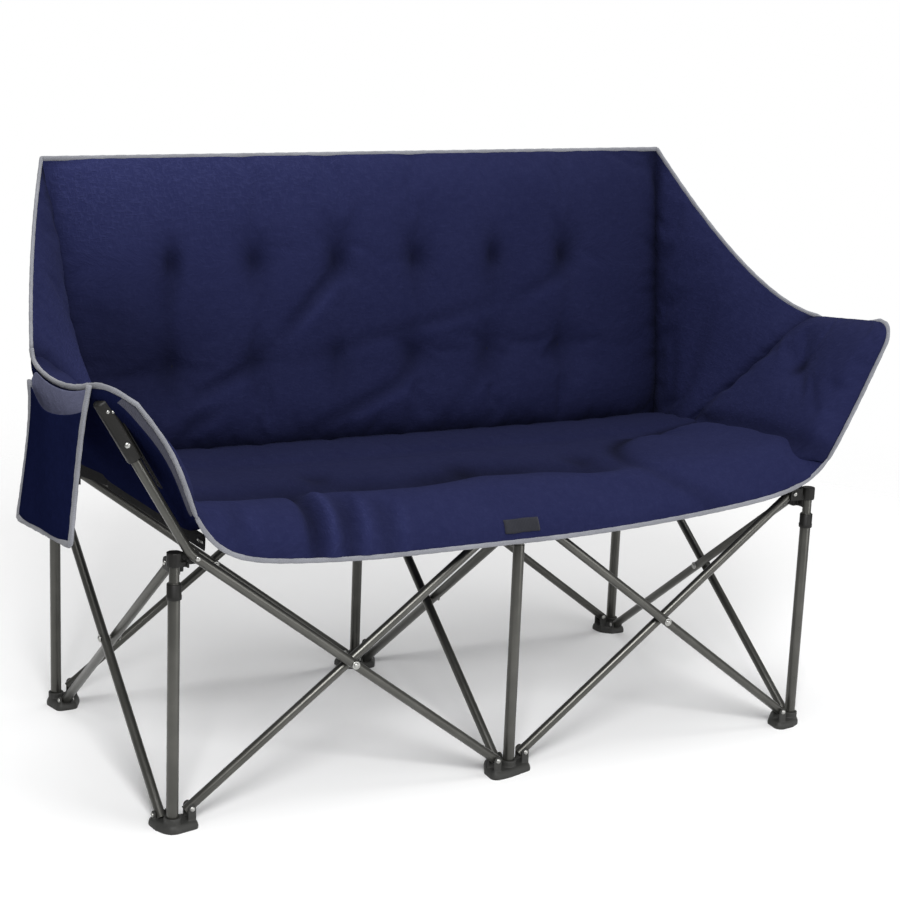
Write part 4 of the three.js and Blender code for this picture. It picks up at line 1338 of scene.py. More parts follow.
class LOVESEAT_OT_wings(bpy.types.Operator):
    """Makes the two wings between the back and the arms"""

    bl_idname = "loveseat.wings"
    bl_label = "Wings"

    def execute(self, context):
        for side in SIDES:
            self.add_wing(side, context.scene.loveseat_cover)
        return {"FINISHED"}

    def add_wing(self, side, sizes):
        """Padded wing: a low crown, with soft creases that fan out from its foot."""
        columns, rows = (counted(span, sizes.step) for span in WING_SPAN)
        along, up = np.meshgrid(np.linspace(-0.015, 1.015, columns), np.linspace(0, 1, rows))
        base = wing_base(along, up, side)
        width = np.linalg.norm(base[:, -1:] - base[:, :1], axis=2)
        height = np.linalg.norm(base[-1:] - base[:1], axis=2)
        behind, before = np.maximum(along, 0) * width, np.maximum(1 - along, 0) * width
        fan = valley(along, up, ((0.62, 0.05), (0.45, 0.75)), 0.07)
        fan = fan + valley(along, up, ((0.5, 0.02), (0.2, 0.5)), 0.06)
        bulge = bell(along - 0.75, 0.35) * bell(up - 0.45, 0.3) if side == "left" else 0.0
        crown = sizes.wing_crown * (1 - (2 * np.clip(up, 0.5, 1) - 1) ** 4) - 0.003 * fan + 0.015 * bulge
        below, above, reach = up * height, (1 - up) * height, sizes.edge_round
        edges = thinned((behind, reach, 0.15), (before, reach, 0.3), (below, reach, 0.5))
        edges = edges * pinched(above, sizes.bound_round)
        rims = thinned((behind, reach, 0), (before, reach, 0), (below, reach, 0), (above, 0.12, 0))
        lift, drop = crown * edges + sizes.seam_half, 0.6 * sizes.rim * rims + sizes.seam_half
        faces = (base + wing_normal() * lift[..., None], base - wing_normal() * drop[..., None])
        # Painted shade along the seam with the back, along the front edge and the foot and in the fanned
        # creases; painted light on the left wing's bulge.
        seam = 0.7 * bell(behind, 0.032) if side == "left" else 0.4 * bell(behind, 0.02)
        shade = 0.5 * bulge - 0.15 * fan - seam - 0.4 * bell(before, 0.025) - 0.3 * bell(below, 0.05)
        piece = add_shell(f"wing_cushion_{side}", *(mirrored(face, side) for face in faces), shade)
        swell(piece, held_points(rows, columns), cap=0.006, growth=0.015)
        dress(piece, f"wing_{side}", f"wing_{side}", wing_gather(side))


def arm_start(up, side):
    """Share of the arm's length by which its rounded top corner cuts the front edge back at each height."""
    corner = float(cover_place("arm_corner", side))
    rise = np.linalg.norm(cover_place("arm_top", side) - cover_place("arm_foot", side))
    reach = np.linalg.norm(cover_place("arm_rear", side) - cover_place("arm_top", side))
    share = np.clip(1 - (1 - np.asarray(up)) * rise / corner, 0.0, 1.0)
    return corner * (1 - np.sqrt(1 - share ** 2)) / reach


def arm_normal():
    """Direction from the right arm towards the sitter, square to the arm tube."""
    slope = bpy.context.scene.loveseat_frame.arm_slope
    return np.array([-math.sin(slope), 0.0, math.cos(slope)])


def arm_base(along, up, side):
    """Face of an arm: straight lines from foot to top; its front flap curls and the left one's top sags."""
    sizes = bpy.context.scene.loveseat_cover
    foot = between(cover_place("arm_foot", side), cover_place("wing_foot"), along)
    top = between(cover_place("arm_top", side), cover_place("arm_rear", side), along)
    sag = sizes.arm_sag if side == "left" else 0.0
    top = top - Z_AXIS * (sag * np.sin(math.pi * np.clip(along, 0, 1)) ** 0.43)[..., None]
    face = between(foot, top, up)
    root = np.sqrt(np.clip(up, 0, 1))
    behind_edge = face[..., 1] - sizes.seat_front
    flap = np.clip(1 - behind_edge / sizes.arm_flap, 0, 1) ** 1.5
    curl = sizes.arm_bow * 4 * root * (1 - root) * flap
    tuck = sizes.arm_tuck * np.sin(math.pi * np.clip(up, 0, 1)) ** 2 if side == "left" else 0.0
    return face + arm_normal() * (tuck * bell(behind_edge, 0.06) - curl)[..., None]


def crease_height(along):
    """Share of the arm's height up to which the side of the seat covers it, falling towards the back."""
    return bpy.context.scene.loveseat_cover.arm_crease * (1 - 0.5 * np.clip(along, 0, 1) ** 1.5)


ARM_SPAN = (0.36, 0.30)  # along and up
HEM_REACH = (0.2, 0.86)  # shares of the arm's height between which its hem tape shows
WEBBING_HALF = (0.012, 0.0014)
WEBBING_RIVET = (0.0034, 0.0018)
# Webbing at the foot of a panel: share of the panel's height, and distance outside it
ARM_WEBBING = (0.020, 0.011)
WING_WEBBING = (-0.005, 0.006)


class LOVESEAT_OT_arms(bpy.types.Operator):
    """Makes the two padded arms and the webbing under them"""

    bl_idname = "loveseat.arms"
    bl_label = "Arms"

    def execute(self, context):
        along = np.linspace(0.07, 1.0, 60)
        for side in SIDES:
            self.add_arm(side, context.scene.loveseat_cover)
            arm = f"front_{side}_arm"
            up, outside = ARM_WEBBING
            foot = arm_base(along, np.full_like(along, up), side) - arm_normal() * outside
            self.add_webbing(f"arm_webbing_{side}", mirrored(foot, side), arm, ARM_GATHER)
            outward = -mirrored(arm_normal(), side)
            places = mirrored(foot, side)[[1, 3]] + outward * 0.0012
            heads = [domed_head(place, outward, *WEBBING_RIVET) for place in places]
            rivets = add_piece(f"webbing_rivets_{side}", *joined(heads), "rivet_steel")
            carry(rivets, arm, "rivet_steel")
            up, outside = WING_WEBBING
            foot = wing_base(along, np.full_like(along, up), side) - wing_normal() * outside
            self.add_webbing(f"wing_webbing_{side}", mirrored(foot, side), f"wing_{side}", wing_gather(side))
        return {"FINISHED"}

    def add_arm(self, side, sizes):
        """Padded arm: a crown, one tuft, and a crease along the side of the seat."""
        columns, rows = (counted(span, sizes.step) for span in ARM_SPAN)
        share, rise = np.meshgrid(np.linspace(0, 1, columns), np.linspace(0, 1, rows))
        foot = 0.8 * sizes.arm_crease * bell(share, 0.13)
        up = foot + rise * (1 - foot)
        start = arm_start(up, side)
        along = start + share * (1.012 - start)
        base = arm_base(along, up, side)
        width = np.linalg.norm(base[:, -1:] - base[:, :1], axis=2)
        height = np.linalg.norm(base[-1:] - base[:1], axis=2)
        before, behind = share * width, (1 - share) * width
        tuft = bell(np.hypot((along - 0.55) * 0.31, (up - 0.62) * 0.29), 0.026)
        crease = bell(up - crease_height(along), 0.07)
        full = 0.1 + 1.3 * np.clip(along, 0, 1) if side == "left" else 1.0
        crown = sizes.arm_crown * full * (1 - np.clip(2 * up - 1, 0, 1) ** 6) - 0.010 * tuft - 0.008 * crease
        below, above, reach = rise * height, (1 - rise) * height, sizes.edge_round
        edges = thinned((before, reach, 0), (behind, reach, 0.3), (below, reach, 0.5))
        edges = edges * pinched(above, sizes.bound_round)
        rims = thinned(*((distance, reach, 0) for distance in (before, behind, below, above)))
        lift, drop = crown * edges + sizes.seam_half, sizes.rim * rims + sizes.seam_half
        faces = (base + arm_normal() * lift[..., None], base - arm_normal() * drop[..., None])
        # Painted shade in the tuft, along the seat's crease and along the rear seam.
        shade = -0.7 * tuft ** 3 - 0.35 * crease - 0.4 * bell(behind, 0.025)
        piece = add_shell(f"arm_cushion_{side}", *(mirrored(face, side) for face in faces), shade)
        self.line_hem(piece, (before < sizes.arm_hem) & (up > HEM_REACH[0]) & (up < HEM_REACH[1]))
        swell(piece, held_points(rows, columns, tuft > TUFT_CORE), cap=0.011, growth=0.035)
        dress(piece, f"front_{side}_arm", f"arm_panel_{side}", ARM_GATHER)

    def line_hem(self, piece, hemmed):
        """Gives the outer faces at the hemmed points of a shell's grid the hem tape."""
        piece.data.materials.append(finish("hem_tape"))
        inner_count = (hemmed.shape[0] - 1) * (hemmed.shape[1] - 1)
        index = np.zeros(len(piece.data.polygons), dtype=np.int32)
        piece.data.polygons.foreach_get("material_index", index)
        index[inner_count:2 * inner_count][hemmed[:-1, 1:].ravel()] = 2
        piece.data.polygons.foreach_set("material_index", index)

    def add_webbing(self, name, route, body, gather):
        """Black webbing sewn along the foot of a panel, on its outside."""
        fold_squash(add_strap(name, route, Z_AXIS, WEBBING_HALF, body), *gather)


def seat_side(side):
    """Side edge of the seat: along the crease on the arm's face, then along the wing's foot to the back."""
    along = np.linspace(0, 1, 25)
    above_arm = 0.009 * (1 - bell(along, 0.12))
    crease = arm_base(along, crease_height(along), side) + arm_normal() * above_arm[:, None]
    corner = cover_place("back_foot", side) + np.array([0.004, 0.0, 0.012])
    return np.concatenate([crease, [corner], [corner + 0.05 * Y_AXIS]])


def on_seat_side(y, across, axis):
    """Place along an axis of the side edge that is nearer, at each depth of the seat."""
    left, right = (np.interp(y, edge[:, 1], edge[:, axis]) for edge in map(seat_side, SIDES))
    return np.where(across < 0, left, right)


def seat_edge_height(across):
    """Height of the bound front edge: level in the middle, up into the arms' edges, later on the left."""
    sizes = bpy.context.scene.loveseat_cover
    rise = on_seat_side(sizes.seat_front, across, 2) - sizes.seat_edge
    right, left = np.clip(across, 0, 1), np.clip(-across, 0, 1)
    right_share = 0.49 * right ** 1.9 + 0.51 * right ** 14
    left_share = 0.23 * np.clip((left - 0.45) / 0.55, 0, 1) ** 1.5 + 0.77 * left ** 16
    return sizes.seat_edge + rise * (right_share + left_share)


# Places on the seat are pairs: across, and behind the front posts.
# Folds of the seat's front roll: how deep each is, and the places that it runs through
SEAT_FOLDS = (
    (1.5, (-0.350, 0.095), (-0.354, 0.040), (-0.372, -0.085)),
    (1.0, (-0.292, 0.045), (-0.320, -0.085)),
    (0.6, (-0.235, 0.020), (-0.255, -0.085)),
    (0.4, (-0.480, 0.010), (-0.486, -0.046)),
)
# Line of the valley behind the roll
SEAT_VALLEY = (
    (-0.52, 0.07), (-0.40, 0.10), (-0.29, 0.114), (-0.15, 0.102), (-0.02, 0.134), (0.09, 0.122),
    (0.16, 0.092),
)
# Dents where the seat is quilted
SEAT_DENTS = ((-0.276, 0.165), (-0.02, 0.16), (0.195, 0.14))


def seat_creases(x, y):
    """Shares of the seat's creases: valley behind its roll, plump right end, ring round that, and folds."""
    forward = y - FRONT_Y
    waver = 0.8 + 0.2 * np.sin(31.0 * x + 1.1) * np.sin(17.0 * x)
    oval = ((x - 0.53) / 0.26) ** 2 + ((forward - 0.09) / 0.19) ** 2
    line = np.interp(x, *np.transpose(SEAT_VALLEY))
    trough = bell(forward - line, 0.030) * waver * np.clip(oval - 1, 0, 0.5) * 2
    plump = np.sqrt(np.clip(1 - oval, 0, 1))
    ring = bell(oval - 1.06, 0.13) * np.clip((x - 0.2) / 0.1, 0, 1)
    ring = ring * np.clip(0.4 + 6 * (forward - 0.02), 0.4, 1)
    folds, ridges = np.zeros_like(x), np.zeros_like(x)
    for strength, *fold in SEAT_FOLDS:
        folds = np.maximum(folds, strength * valley(x, forward, fold, 0.013))
        ridges = np.maximum(ridges, strength * valley(x - 0.026, forward, fold, 0.012))
    for across, behind in SEAT_DENTS:
        folds = np.maximum(folds, 0.7 * bell(np.hypot(x - across, forward - behind), 0.026))
    return trough, plump, ring, folds - 0.5 * ridges


def seat_height(x, y, across):
    """Height of the seat's face: up at both sides and crowned, less its creases."""
    sizes = bpy.context.scene.loveseat_cover
    rear = np.clip((y - sizes.seat_front) / (cover_place("back_foot")[1] - sizes.seat_front), 0, 1)
    hollow = sizes.seat_top + (on_seat_side(y, across, 2) - sizes.seat_top) * np.abs(across) ** 5
    inside = pinched((1 - np.abs(across)) * on_seat_side(y, across, 0), 0.08)
    trough, plump, ring, folds = seat_creases(x, y)
    lift = sizes.seat_crown * (1 - rear ** 6) * (1 - 0.6 * np.abs(across) ** 3) - sizes.seat_valley * trough
    lift = lift + sizes.seat_pillow * (plump - 0.45 * ring) - 0.010 * folds
    return hollow + lift * inside


def seat_shade(face):
    """Painted shade of the seat's face: darker in its creases, along the back and behind the roll, and paler
    on the ridges beside its folds.
    """
    trough, plump, ring, folds = seat_creases(face[..., 0], face[..., 1])
    behind = np.clip((face[..., 1] - FRONT_Y - 0.05) / 0.09, 0, 1) * (1 - plump)
    to_back = cover_place("back_foot")[1] - face[..., 1]
    return -0.28 * behind - 0.45 * trough - 0.45 * ring - 0.4 * folds - 0.5 * bell(to_back, 0.03)


ROLL_SHARE = 0.3  # share of the front half's depth taken by the roll
SEAT_WIDTH = 1.12
FRONT_DEPTH = 0.42
REAR_DEPTH = 0.20
FOLD_HELD = 0.02  # cloth nearer than this to the fold is held
UNDER_BACK = 0.008  # reach of the seat under the back
# Patch on the front roll: shares of the seat's width and depth, and the way out of its face
PATCH_ACROSS = (0.456, 0.511)
PATCH_DEEP = (0.043, 0.108)
PATCH_OUT = np.array([0.0, -0.9, 0.44])
PATCH_FACE = 0.0022
PATCH_BACK = 0.001


def seat_front_face(across, share):
    """Front half's face: a quarter ellipse from the bound edge over the roll, then level to the fold."""
    sizes = bpy.context.scene.loveseat_cover
    angle = np.clip(share / ROLL_SHARE, 0, 1) * math.pi / 2
    roll_end = sizes.seat_front + sizes.roll_depth
    beyond = np.clip((share - ROLL_SHARE) / (1 - ROLL_SHARE), 0, 1)
    y = sizes.seat_front + sizes.roll_depth * (1 - np.cos(angle)) + (FOLD_Y - roll_end) * beyond
    x = across * on_seat_side(y, across, 0)
    edge = seat_edge_height(across)
    z = edge + (seat_height(x, y, across) - edge) * np.sin(angle)
    puff = 0.006 * np.sin(2 * angle) * (1 - across ** 8)
    crease = 0.012 * seat_creases(x, y)[3] * np.cos(angle) * np.sin(np.minimum(3 * angle, math.pi / 2))
    return np.stack([x, y - puff + crease, z], axis=-1)


def seat_level(face, across, rim):
    """Height of the seat's underside: level on the hubs, and up to its rim at both sides."""
    sizes = bpy.context.scene.loveseat_cover
    side = np.abs(across) ** 8
    level = sizes.seat_underside * (1 - side) + (rim - 3 * sizes.seam_half) * side
    return np.minimum(level, face[..., 2] - 2 * sizes.seam_half)


def seat_front_under(across, share):
    """Front half's underside: in behind the bound edge and up, then level on the hubs to the fold."""
    sizes = bpy.context.scene.loveseat_cover
    face = seat_front_face(across, share)
    angle = np.clip(share / ROLL_SHARE, 0, 1) * math.pi / 2
    edge = seat_edge_height(across)
    level = seat_level(face, across, on_seat_side(face[..., 1], across, 2))
    inward = 2 * sizes.seam_half + 0.016 * np.sin(2 * angle)
    z = edge + (level - edge) * np.sin(angle) ** 1.5
    return np.stack([face[..., 0], face[..., 1] + inward * (share < ROLL_SHARE), z], axis=-1)


def seat_rear_face(across, share):
    """Rear half's face: from the fold to the back, under which it ends."""
    y = FOLD_Y + (cover_place("back_foot")[1] + UNDER_BACK - FOLD_Y) * share
    x = across * on_seat_side(y, across, 0)
    return np.stack([x, y, seat_height(x, y, across)], axis=-1)


def seat_rear_under(across, share):
    """Rear half's underside: level on the sliders, thin along its sides."""
    under = seat_rear_face(across, share)
    under[..., 2] = seat_level(under, across, under[..., 2])
    return under


def keep_cut_sharp(piece, cut_y):
    """Keeps the edges of a seat half square where it meets the other half."""
    points = mesh_points(piece.data)
    ends = np.zeros(len(piece.data.edges) * 2, np.int32)
    piece.data.edges.foreach_get("vertices", ends)
    on_cut = (np.abs(points[:, 1] - cut_y) < SAME_PLACE)[ends.reshape(-1, 2)].all(axis=1)
    crease = piece.data.attributes.new("crease_edge", "FLOAT", "EDGE")
    crease.data.foreach_set("value", on_cut.astype(np.float32))
    sharp = piece.data.attributes.new("sharp_edge", "BOOLEAN", "EDGE")
    sharp.data.foreach_set("value", on_cut)


class LOVESEAT_OT_seat(bpy.types.Operator):
    """Makes the two halves of the seat and the bare patch on its front roll"""

    bl_idname = "loveseat.seat"
    bl_label = "Seat"

    def execute(self, context):
        sizes = context.scene.loveseat_cover
        front = self.add_half("seat_front", FRONT_DEPTH, seat_front_face, seat_front_under, sizes)
        self.add_half("seat_rear", REAR_DEPTH, seat_rear_face, seat_rear_under, sizes)
        self.add_patch(front)
        return {"FINISHED"}

    def add_half(self, node, depth, face, under, sizes):
        """One padded half of the seat, pinned at its edges and near the fold. Returns its face's points."""
        columns, rows = counted(SEAT_WIDTH, sizes.step), counted(depth, sizes.step)
        across, share = np.meshgrid(np.linspace(-1, 1, columns), np.linspace(0, 1, rows))
        inner = face(across, share)
        piece = add_shell(f"{node}_cushion", inner, under(across, share), seat_shade(inner))
        near_fold = np.abs(inner[..., 1] - FOLD_Y) < FOLD_HELD
        swell(piece, held_points(rows, columns, near_fold), cap=0.008, growth=0.03)
        keep_cut_sharp(piece, FOLD_Y)
        dress(piece, node, node, SEAT_GATHER)
        return mesh_points(piece.data)[:rows * columns].reshape(rows, columns, 3)

    def add_patch(self, face):
        """Bare woven patch, sewn flat on the front roll: places on the seat's face, moved out."""
        rows, columns = face.shape[:2]
        column = np.linspace(*PATCH_ACROSS, 15) * (columns - 1)
        row = np.linspace(*PATCH_DEEP, 8) * (rows - 1)
        column, row = np.meshgrid(column, row)
        left, low = column.astype(int), row.astype(int)
        lower = between(face[low, left], face[low, left + 1], column - left)
        upper = between(face[low + 1, left], face[low + 1, left + 1], column - left)
        patch = between(lower, upper, row - low)
        faces = (patch + PATCH_OUT * PATCH_FACE, patch - PATCH_OUT * PATCH_BACK)
        piece = add_shell("front_patch", *faces, material="patch_tape")
        carry(piece, "seat_front", "cover_fabric")
        fold_squash(piece, *SEAT_GATHER)


BINDING_SIDES = 14
WING_BINDING = {"left": 0.95, "right": 0.8}
ARM_BINDING = {"left": 1.15, "right": 0.9}


def add_binding(name, route, normal, body, gather, share=1.0, start=1.0, end=1.0):
    """Binding folded over an edge: an oval carried along it, puckered by stitches, thinner at some ends."""
    sizes = bpy.context.scene.loveseat_cover
    route = spaced(route, 0.006)
    along = run_length(route)
    pucker = 1 + 0.05 * np.sin(along * WHOLE_TURN / 0.031) + 0.03 * np.sin(along * WHOLE_TURN / 0.0123)
    pucker = pucker * pinched(along, 0.03, start) * pinched(along[-1] - along, 0.03, end)
    thick, wide = sizes.binding_thickness / 2 * pucker * share, sizes.binding_width / 2 * pucker * share
    shell = solid_sweep(route, normal, thick, wide, BINDING_SIDES)
    piece = add_piece(name, *shell, "edge_binding", tape_map(route, BINDING_SIDES))
    carry(piece, body, "cover_fabric")
    fold_squash(piece, *gather)


def arm_edge(side):
    """Bound edge of an arm, from the seat up the front, round the corner and back along the top."""
    up = np.linspace(float(crease_height(0.0)) - 0.02, 1, 60)
    start = arm_start(up, side)
    along = np.linspace(float(start[-1]), 1, 40)
    top = arm_base(along, np.ones_like(along), side)
    if side == "right":
        behind = np.clip(4 * (along - along[0]), 0, 1) * np.clip(10 * (1 - along), 0, 1)
        top = top - (arm_normal() * 0.005 + Z_AXIS * 0.006) * behind[:, None]
    return np.concatenate([arm_base(start, up, side), top[1:]])


class LOVESEAT_OT_bindings(bpy.types.Operator):
    """Makes the grey binding round the cover's edge"""

    bl_idname = "loveseat.bindings"
    bl_label = "Edge binding"

    def execute(self, context):
        across = np.linspace(-1, 1, 160)
        top = back_base(across, np.ones_like(across))
        add_binding("binding_back", top, Y_AXIS, "rear_mid_foot", BACK_GATHER, 0.8)
        front = seat_front_face(across, np.zeros_like(across))
        add_binding("binding_seat", front, Y_AXIS, "seat_front", SEAT_GATHER, 0.72, 0.4, 0.4)
        for side in SIDES:
            edge = mirrored(wing_edge(np.linspace(0, 1, 60), side), side)
            normal = mirrored(wing_normal(), side)
            wing, share = f"wing_{side}", WING_BINDING[side]
            add_binding(f"binding_wing_{side}", edge, normal, wing, wing_gather(side), share)
            edge = mirrored(arm_edge(side), side)
            normal = mirrored(arm_normal(), side)
            arm, share = f"front_{side}_arm", ARM_BINDING[side]
            add_binding(f"binding_arm_{side}", edge, normal, arm, ARM_GATHER, share, 0.4)
        return {"FINISHED"}


POCKET_TURN = 0.52  # share of the pocket's cloth that hangs behind its foot
POCKET_WALL = 0.0012


class LOVESEAT_OT_pocket(bpy.types.Operator):
    """Makes the hanging pocket with its sagging mouth and its bound edges"""

    bl_idname = "loveseat.pocket"
    bl_label = "Side pocket"

    def execute(self, context):
        sizes = context.scene.loveseat_cover
        across, share = np.meshgrid(np.linspace(0, 1, 31), np.linspace(0, 1, 71))
        bag = self.bag(across, share, sizes)
        faces = grid_quads(*bag.shape[:2]).tolist()
        # The pocket's front takes a darker cloth as painted shade, and its inside takes the paler lining.
        piece = add_piece("pocket_bag", bag, faces, "pocket_cloth", cloth_places(bag))
        piece.data.materials.append(finish("pocket_lining"))
        behind = np.repeat(np.arange(bag.shape[0] - 1) < POCKET_TURN * (bag.shape[0] - 1), bag.shape[1] - 1)
        piece.data.polygons.foreach_set("material_index", behind.astype(np.int32))
        wall = piece.modifiers.new("Wall", "SOLIDIFY")
        wall.thickness = POCKET_WALL
        wall.offset = 0.0
        subdivide(piece)
        carry(piece, "pocket", "pocket_fabric", "side_pocket")
        fold_squash(piece, *ARM_GATHER)
        self.add_edges(sizes)
        return {"FINISHED"}

    def flat_size(self, bag):
        """Width and length of the cloth before it is sewn up."""
        return float(run_length(bag[0])[-1]), float(run_length(bag[:, bag.shape[1] // 2])[-1])

    def swung(self, points, sizes):
        """Points of the pocket with its foot hung out and its rear edge leaning forward."""
        fall = np.clip((POCKET_HIGH[2] - points[..., 2]) / (POCKET_HIGH[2] - POCKET_LOW[2]), 0, 1.1)
        rear = np.clip((points[..., 1] - POCKET_LOW[1]) / (POCKET_HIGH[1] - POCKET_LOW[1]), 0, 1)
        aside = sizes.pocket_swing * fall ** 1.2 * (1 + 0.4 * rear)
        forward = sizes.pocket_lean * rear * (1 - fall)
        return points - X_AXIS * aside[..., None] - Y_AXIS * forward[..., None]

    def hem(self, y):
        """Across and height at which the pocket is sewn to the arm, just outside the arm's top edge."""
        corner = bpy.context.scene.loveseat_cover.pocket_corner
        cut = corner * np.clip((y - POCKET_HIGH[1]) / corner + 1, 0, 1) ** 5
        along = np.linspace(0, 1, 60)
        edge = mirrored(arm_base(along, np.ones_like(along), "left"), "left")
        across, height = (np.interp(y, edge[:, 1], edge[:, axis]) for axis in (0, 2))
        return across - 0.006, height - 0.003 - cut

    def foot(self, y):
        """Height of the pocket's foot at each depth: lower towards the rear."""
        return POCKET_LOW[2] + np.interp(y, (POCKET_LOW[1], POCKET_HIGH[1]), (0.012, -0.004))

    def wall(self, y, z):
        """Across of the pocket's inner wall: from the hem, out to where it hangs plumb."""
        hem_x, hem_z = self.hem(y)
        plumb = POCKET_HIGH[0] - 0.001
        return plumb + (hem_x - plumb) * np.exp(np.clip((z - hem_z) / 0.045, -8, 0))

    def bag(self, across, share, sizes):
        """Cloth down behind the pocket, round its foot and up in front to a sagging, open mouth."""
        low, high = POCKET_LOW, POCKET_HIGH
        y = low[1] + 0.002 + (high[1] - low[1] - 0.004) * across
        behind = share < POCKET_TURN
        fall = np.where(behind, share / POCKET_TURN, 1 - (share - POCKET_TURN) / (1 - POCKET_TURN))
        mouth = sizes.pocket_mouth * (0.55 + 0.6 * np.sin(math.pi * across) ** 0.8)
        top = np.where(behind, self.hem(y)[1], high[2] - mouth)
        z = top - (top - self.foot(y) - 0.001) * fall
        open_up = np.sin(math.pi * across) ** 0.7
        bulge = 0.3 + 0.7 * np.sin(math.pi * np.clip(1.15 * (1 - fall), 0, 1) * 0.5 + 0.35)
        foot_round = np.sqrt(np.clip((1 - fall) / 0.06, 0, 1))
        stand_out = np.where(behind, 0.0, 0.0022 + sizes.pocket_swell * open_up * bulge)
        x = self.wall(y, z) - stand_out * foot_round
        ripple = 0.0016 * np.sin(9.0 * across + 3.0 * fall) * np.sin(math.pi * across)
        return self.swung(np.stack([x + np.where(behind, 0.0, ripple), y, z], axis=-1), sizes)

    def add_edges(self, sizes):
        """Binding down both sides and along the foot of the pocket."""
        rear, front = POCKET_HIGH[1] - 0.001, POCKET_LOW[1] + 0.001
        y = np.array([rear, rear, front, front])
        z = np.where((True, False, False, True), self.hem(y)[1] + 0.003, self.foot(y) + 0.003)
        route = spaced(np.stack([np.zeros(4), y, z], axis=1), 0.01)
        route[:, 0] = self.wall(route[:, 1], route[:, 2]) - 0.0015
        add_binding("binding_pocket", self.swung(route, sizes), X_AXIS, "pocket", ARM_GATHER, 1.15)


# Stage


SENSOR_WIDTH = 36.0
LENS = 75.53
CAMERA_RIGHT = np.array([0.87829, -0.4765, 0.04016])
CAMERA_UP = np.array([0.07138, 0.21368, 0.97430])
CAMERA_PLACE = np.array([-1.482, -2.7101, 1.1748])
FLOOR_RADIUS = 5
FLOOR_FADE = (0.75, 2.8)
SURROUND_LIGHT = 0.32
# Place, size and power of each soft box
LAMPS = {
    "key": ((-1.5, -3.4, 3.0), 1.5, 150.0),
    "fill": ((2.2, -3.4, 1.0), 2.2, 45.0),
    "top": ((0.2, 0.3, 4.2), 3.4, 105.0),
}


def aimed(right, up, back, place):
    """Matrix of an object at a place, with its right, up and back directions."""
    matrix = Matrix.Identity(4)
    for column, direction in enumerate((right, up, back, place)):
        for row in range(3):
            matrix[row][column] = direction[row]
    return matrix


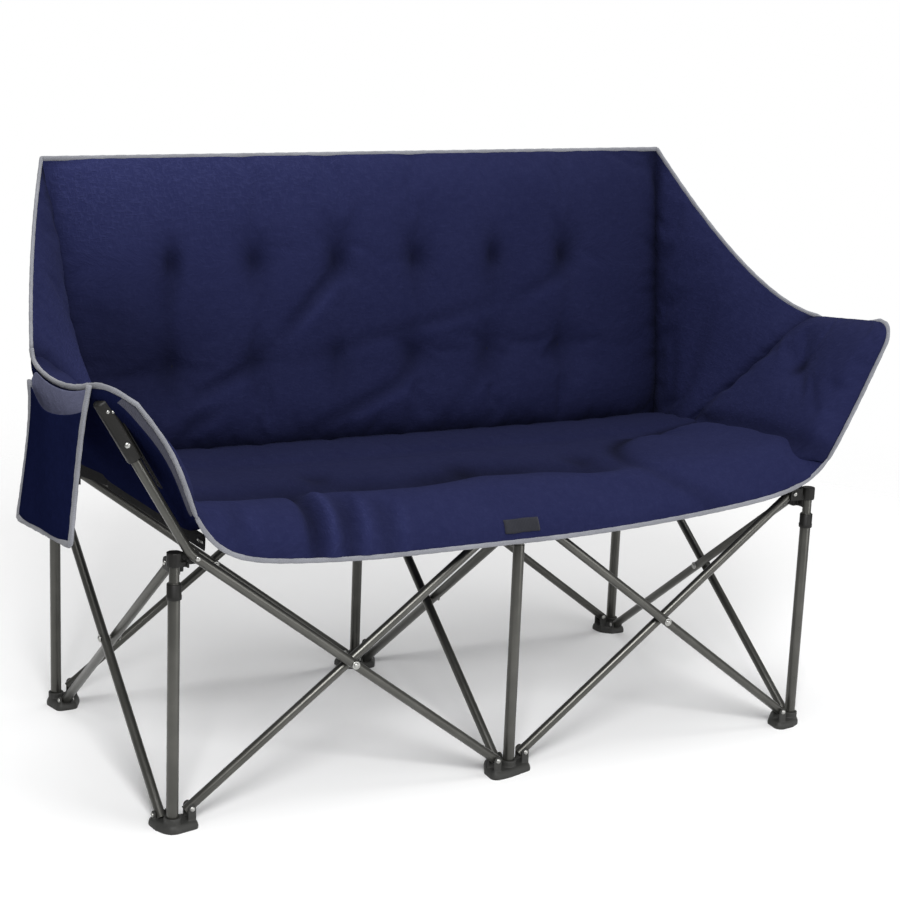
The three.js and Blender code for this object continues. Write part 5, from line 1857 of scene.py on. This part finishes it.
class LOVESEAT_OT_stage(bpy.types.Operator):
    """Makes the floor, the lights, the white surround and the camera"""

    bl_idname = "loveseat.stage"
    bl_label = "Stage"

    def execute(self, context):
        scene = context.scene
        scene.view_settings.view_transform = "Standard"
        self.add_camera(scene)
        self.add_floor(scene)
        self.add_surround(scene)
        for name, settings in LAMPS.items():
            self.add_lamp(scene, name, *settings)
        return {"FINISHED"}

    def add_camera(self, scene):
        """Camera from where the photograph was taken, with the same angle of view."""
        data = bpy.data.cameras.new("camera")
        data.sensor_width = SENSOR_WIDTH
        data.lens = LENS
        camera = bpy.data.objects.new("camera", data)
        back = np.cross(CAMERA_RIGHT, CAMERA_UP)
        camera.matrix_world = aimed(CAMERA_RIGHT, CAMERA_UP, back, CAMERA_PLACE)
        scene.collection.objects.link(camera)
        scene.camera = camera

    def add_floor(self, scene):
        """Round floor that fades into the white surround."""
        colour = tuple(scene.loveseat_finishes.floor)
        shader = Shader("studio_floor")
        place = shader.own_place()
        far = shader.node("ShaderNodeVectorMath", {"operation": "LENGTH"}, {0: place}, "Value")
        mottle = shader.noise(place, 3.0, 2.0)
        ground = shader.node("ShaderNodeBsdfDiffuse", None, {
            "Color": shader.tint(mottle, colour, scaled(colour, 1.02)), "Roughness": 0.4,
        })
        clear = shader.node("ShaderNodeBsdfTransparent")
        fade = shader.ramp(far, *FLOOR_FADE)
        mixed = shader.node("ShaderNodeMixShader", None, {0: fade, 1: ground, 2: clear})
        shader.tree.links.new(mixed.socket, shader.output.inputs["Surface"])
        angle = round_angles(96)
        rim = FLOOR_RADIUS * np.stack([np.cos(angle), np.sin(angle), np.zeros_like(angle)], axis=1)
        mesh = bpy.data.meshes.new("floor")
        mesh.from_pydata(rim.tolist(), [], [list(range(len(rim)))])
        mesh.materials.append(shader.material)
        floor = bpy.data.objects.new("floor", mesh)
        scene.collection.objects.link(floor)

    def add_surround(self, scene):
        """White to the camera and in reflections, softer as a light."""
        world = bpy.data.worlds.new("surround")
        world.use_nodes = True
        tree = world.node_tree
        background = tree.nodes["Background"]
        path = tree.nodes.new("ShaderNodeLightPath")
        seen = tree.nodes.new("ShaderNodeMath")
        seen.operation = "MAXIMUM"
        tree.links.new(path.outputs["Is Camera Ray"], seen.inputs[0])
        tree.links.new(path.outputs["Is Transmission Ray"], seen.inputs[1])
        strength = tree.nodes.new("ShaderNodeMapRange")
        strength.inputs["To Min"].default_value = SURROUND_LIGHT
        strength.inputs["To Max"].default_value = 1.0
        tree.links.new(seen.outputs[0], strength.inputs["Value"])
        tree.links.new(strength.outputs[0], background.inputs["Strength"])
        background.inputs["Color"].default_value = (1, 1, 1, 1)
        scene.world = world

    def add_lamp(self, scene, name, place, size, power):
        """Square soft box aimed at the middle of the loveseat."""
        data = bpy.data.lights.new(name, "AREA")
        data.shape = "SQUARE"
        data.size = size
        data.energy = power
        lamp = bpy.data.objects.new(name, data)
        target = (np.array(cad_box[0]) + np.array(cad_box[1])) / 2
        back = unit(np.array(place) - target)
        side = unit(np.cross(Z_AXIS, back))
        lamp.matrix_world = aimed(side, np.cross(back, side), back, place)
        scene.collection.objects.link(lamp)


OPERATORS = (
    LOVESEAT_OT_stage,
    LOVESEAT_OT_tubes,
    LOVESEAT_OT_mouldings,
    LOVESEAT_OT_end_fittings,
    LOVESEAT_OT_rivets,
    LOVESEAT_OT_back,
    LOVESEAT_OT_wings,
    LOVESEAT_OT_arms,
    LOVESEAT_OT_seat,
    LOVESEAT_OT_bindings,
    LOVESEAT_OT_pocket,
)


class LOVESEAT_PT_panel(bpy.types.Panel):
    """Lists the pieces of the loveseat in the sidebar"""

    bl_idname = "LOVESEAT_PT_panel"
    bl_label = "Loveseat"
    bl_space_type = "VIEW_3D"
    bl_region_type = "UI"
    bl_category = "Loveseat"

    def draw(self, context):
        for operator in OPERATORS:
            self.layout.operator(operator.bl_idname)


GROUPS = {"loveseat_frame": FrameSizes, "loveseat_cover": CoverSizes, "loveseat_finishes": Finishes}


def register():
    for made in (*GROUPS.values(), *OPERATORS, LOVESEAT_PT_panel):
        bpy.utils.register_class(made)
    for name, group in GROUPS.items():
        setattr(bpy.types.Scene, name, PointerProperty(type=group))


def unregister():
    for name in GROUPS:
        delattr(bpy.types.Scene, name)
    for made in (LOVESEAT_PT_panel, *reversed(OPERATORS), *GROUPS.values()):
        bpy.utils.unregister_class(made)


def main():
    register()
    for operator in OPERATORS:
        group, name = operator.bl_idname.split(".")
        getattr(getattr(bpy.ops, group), name)()


if __name__ == "__main__":
    main()
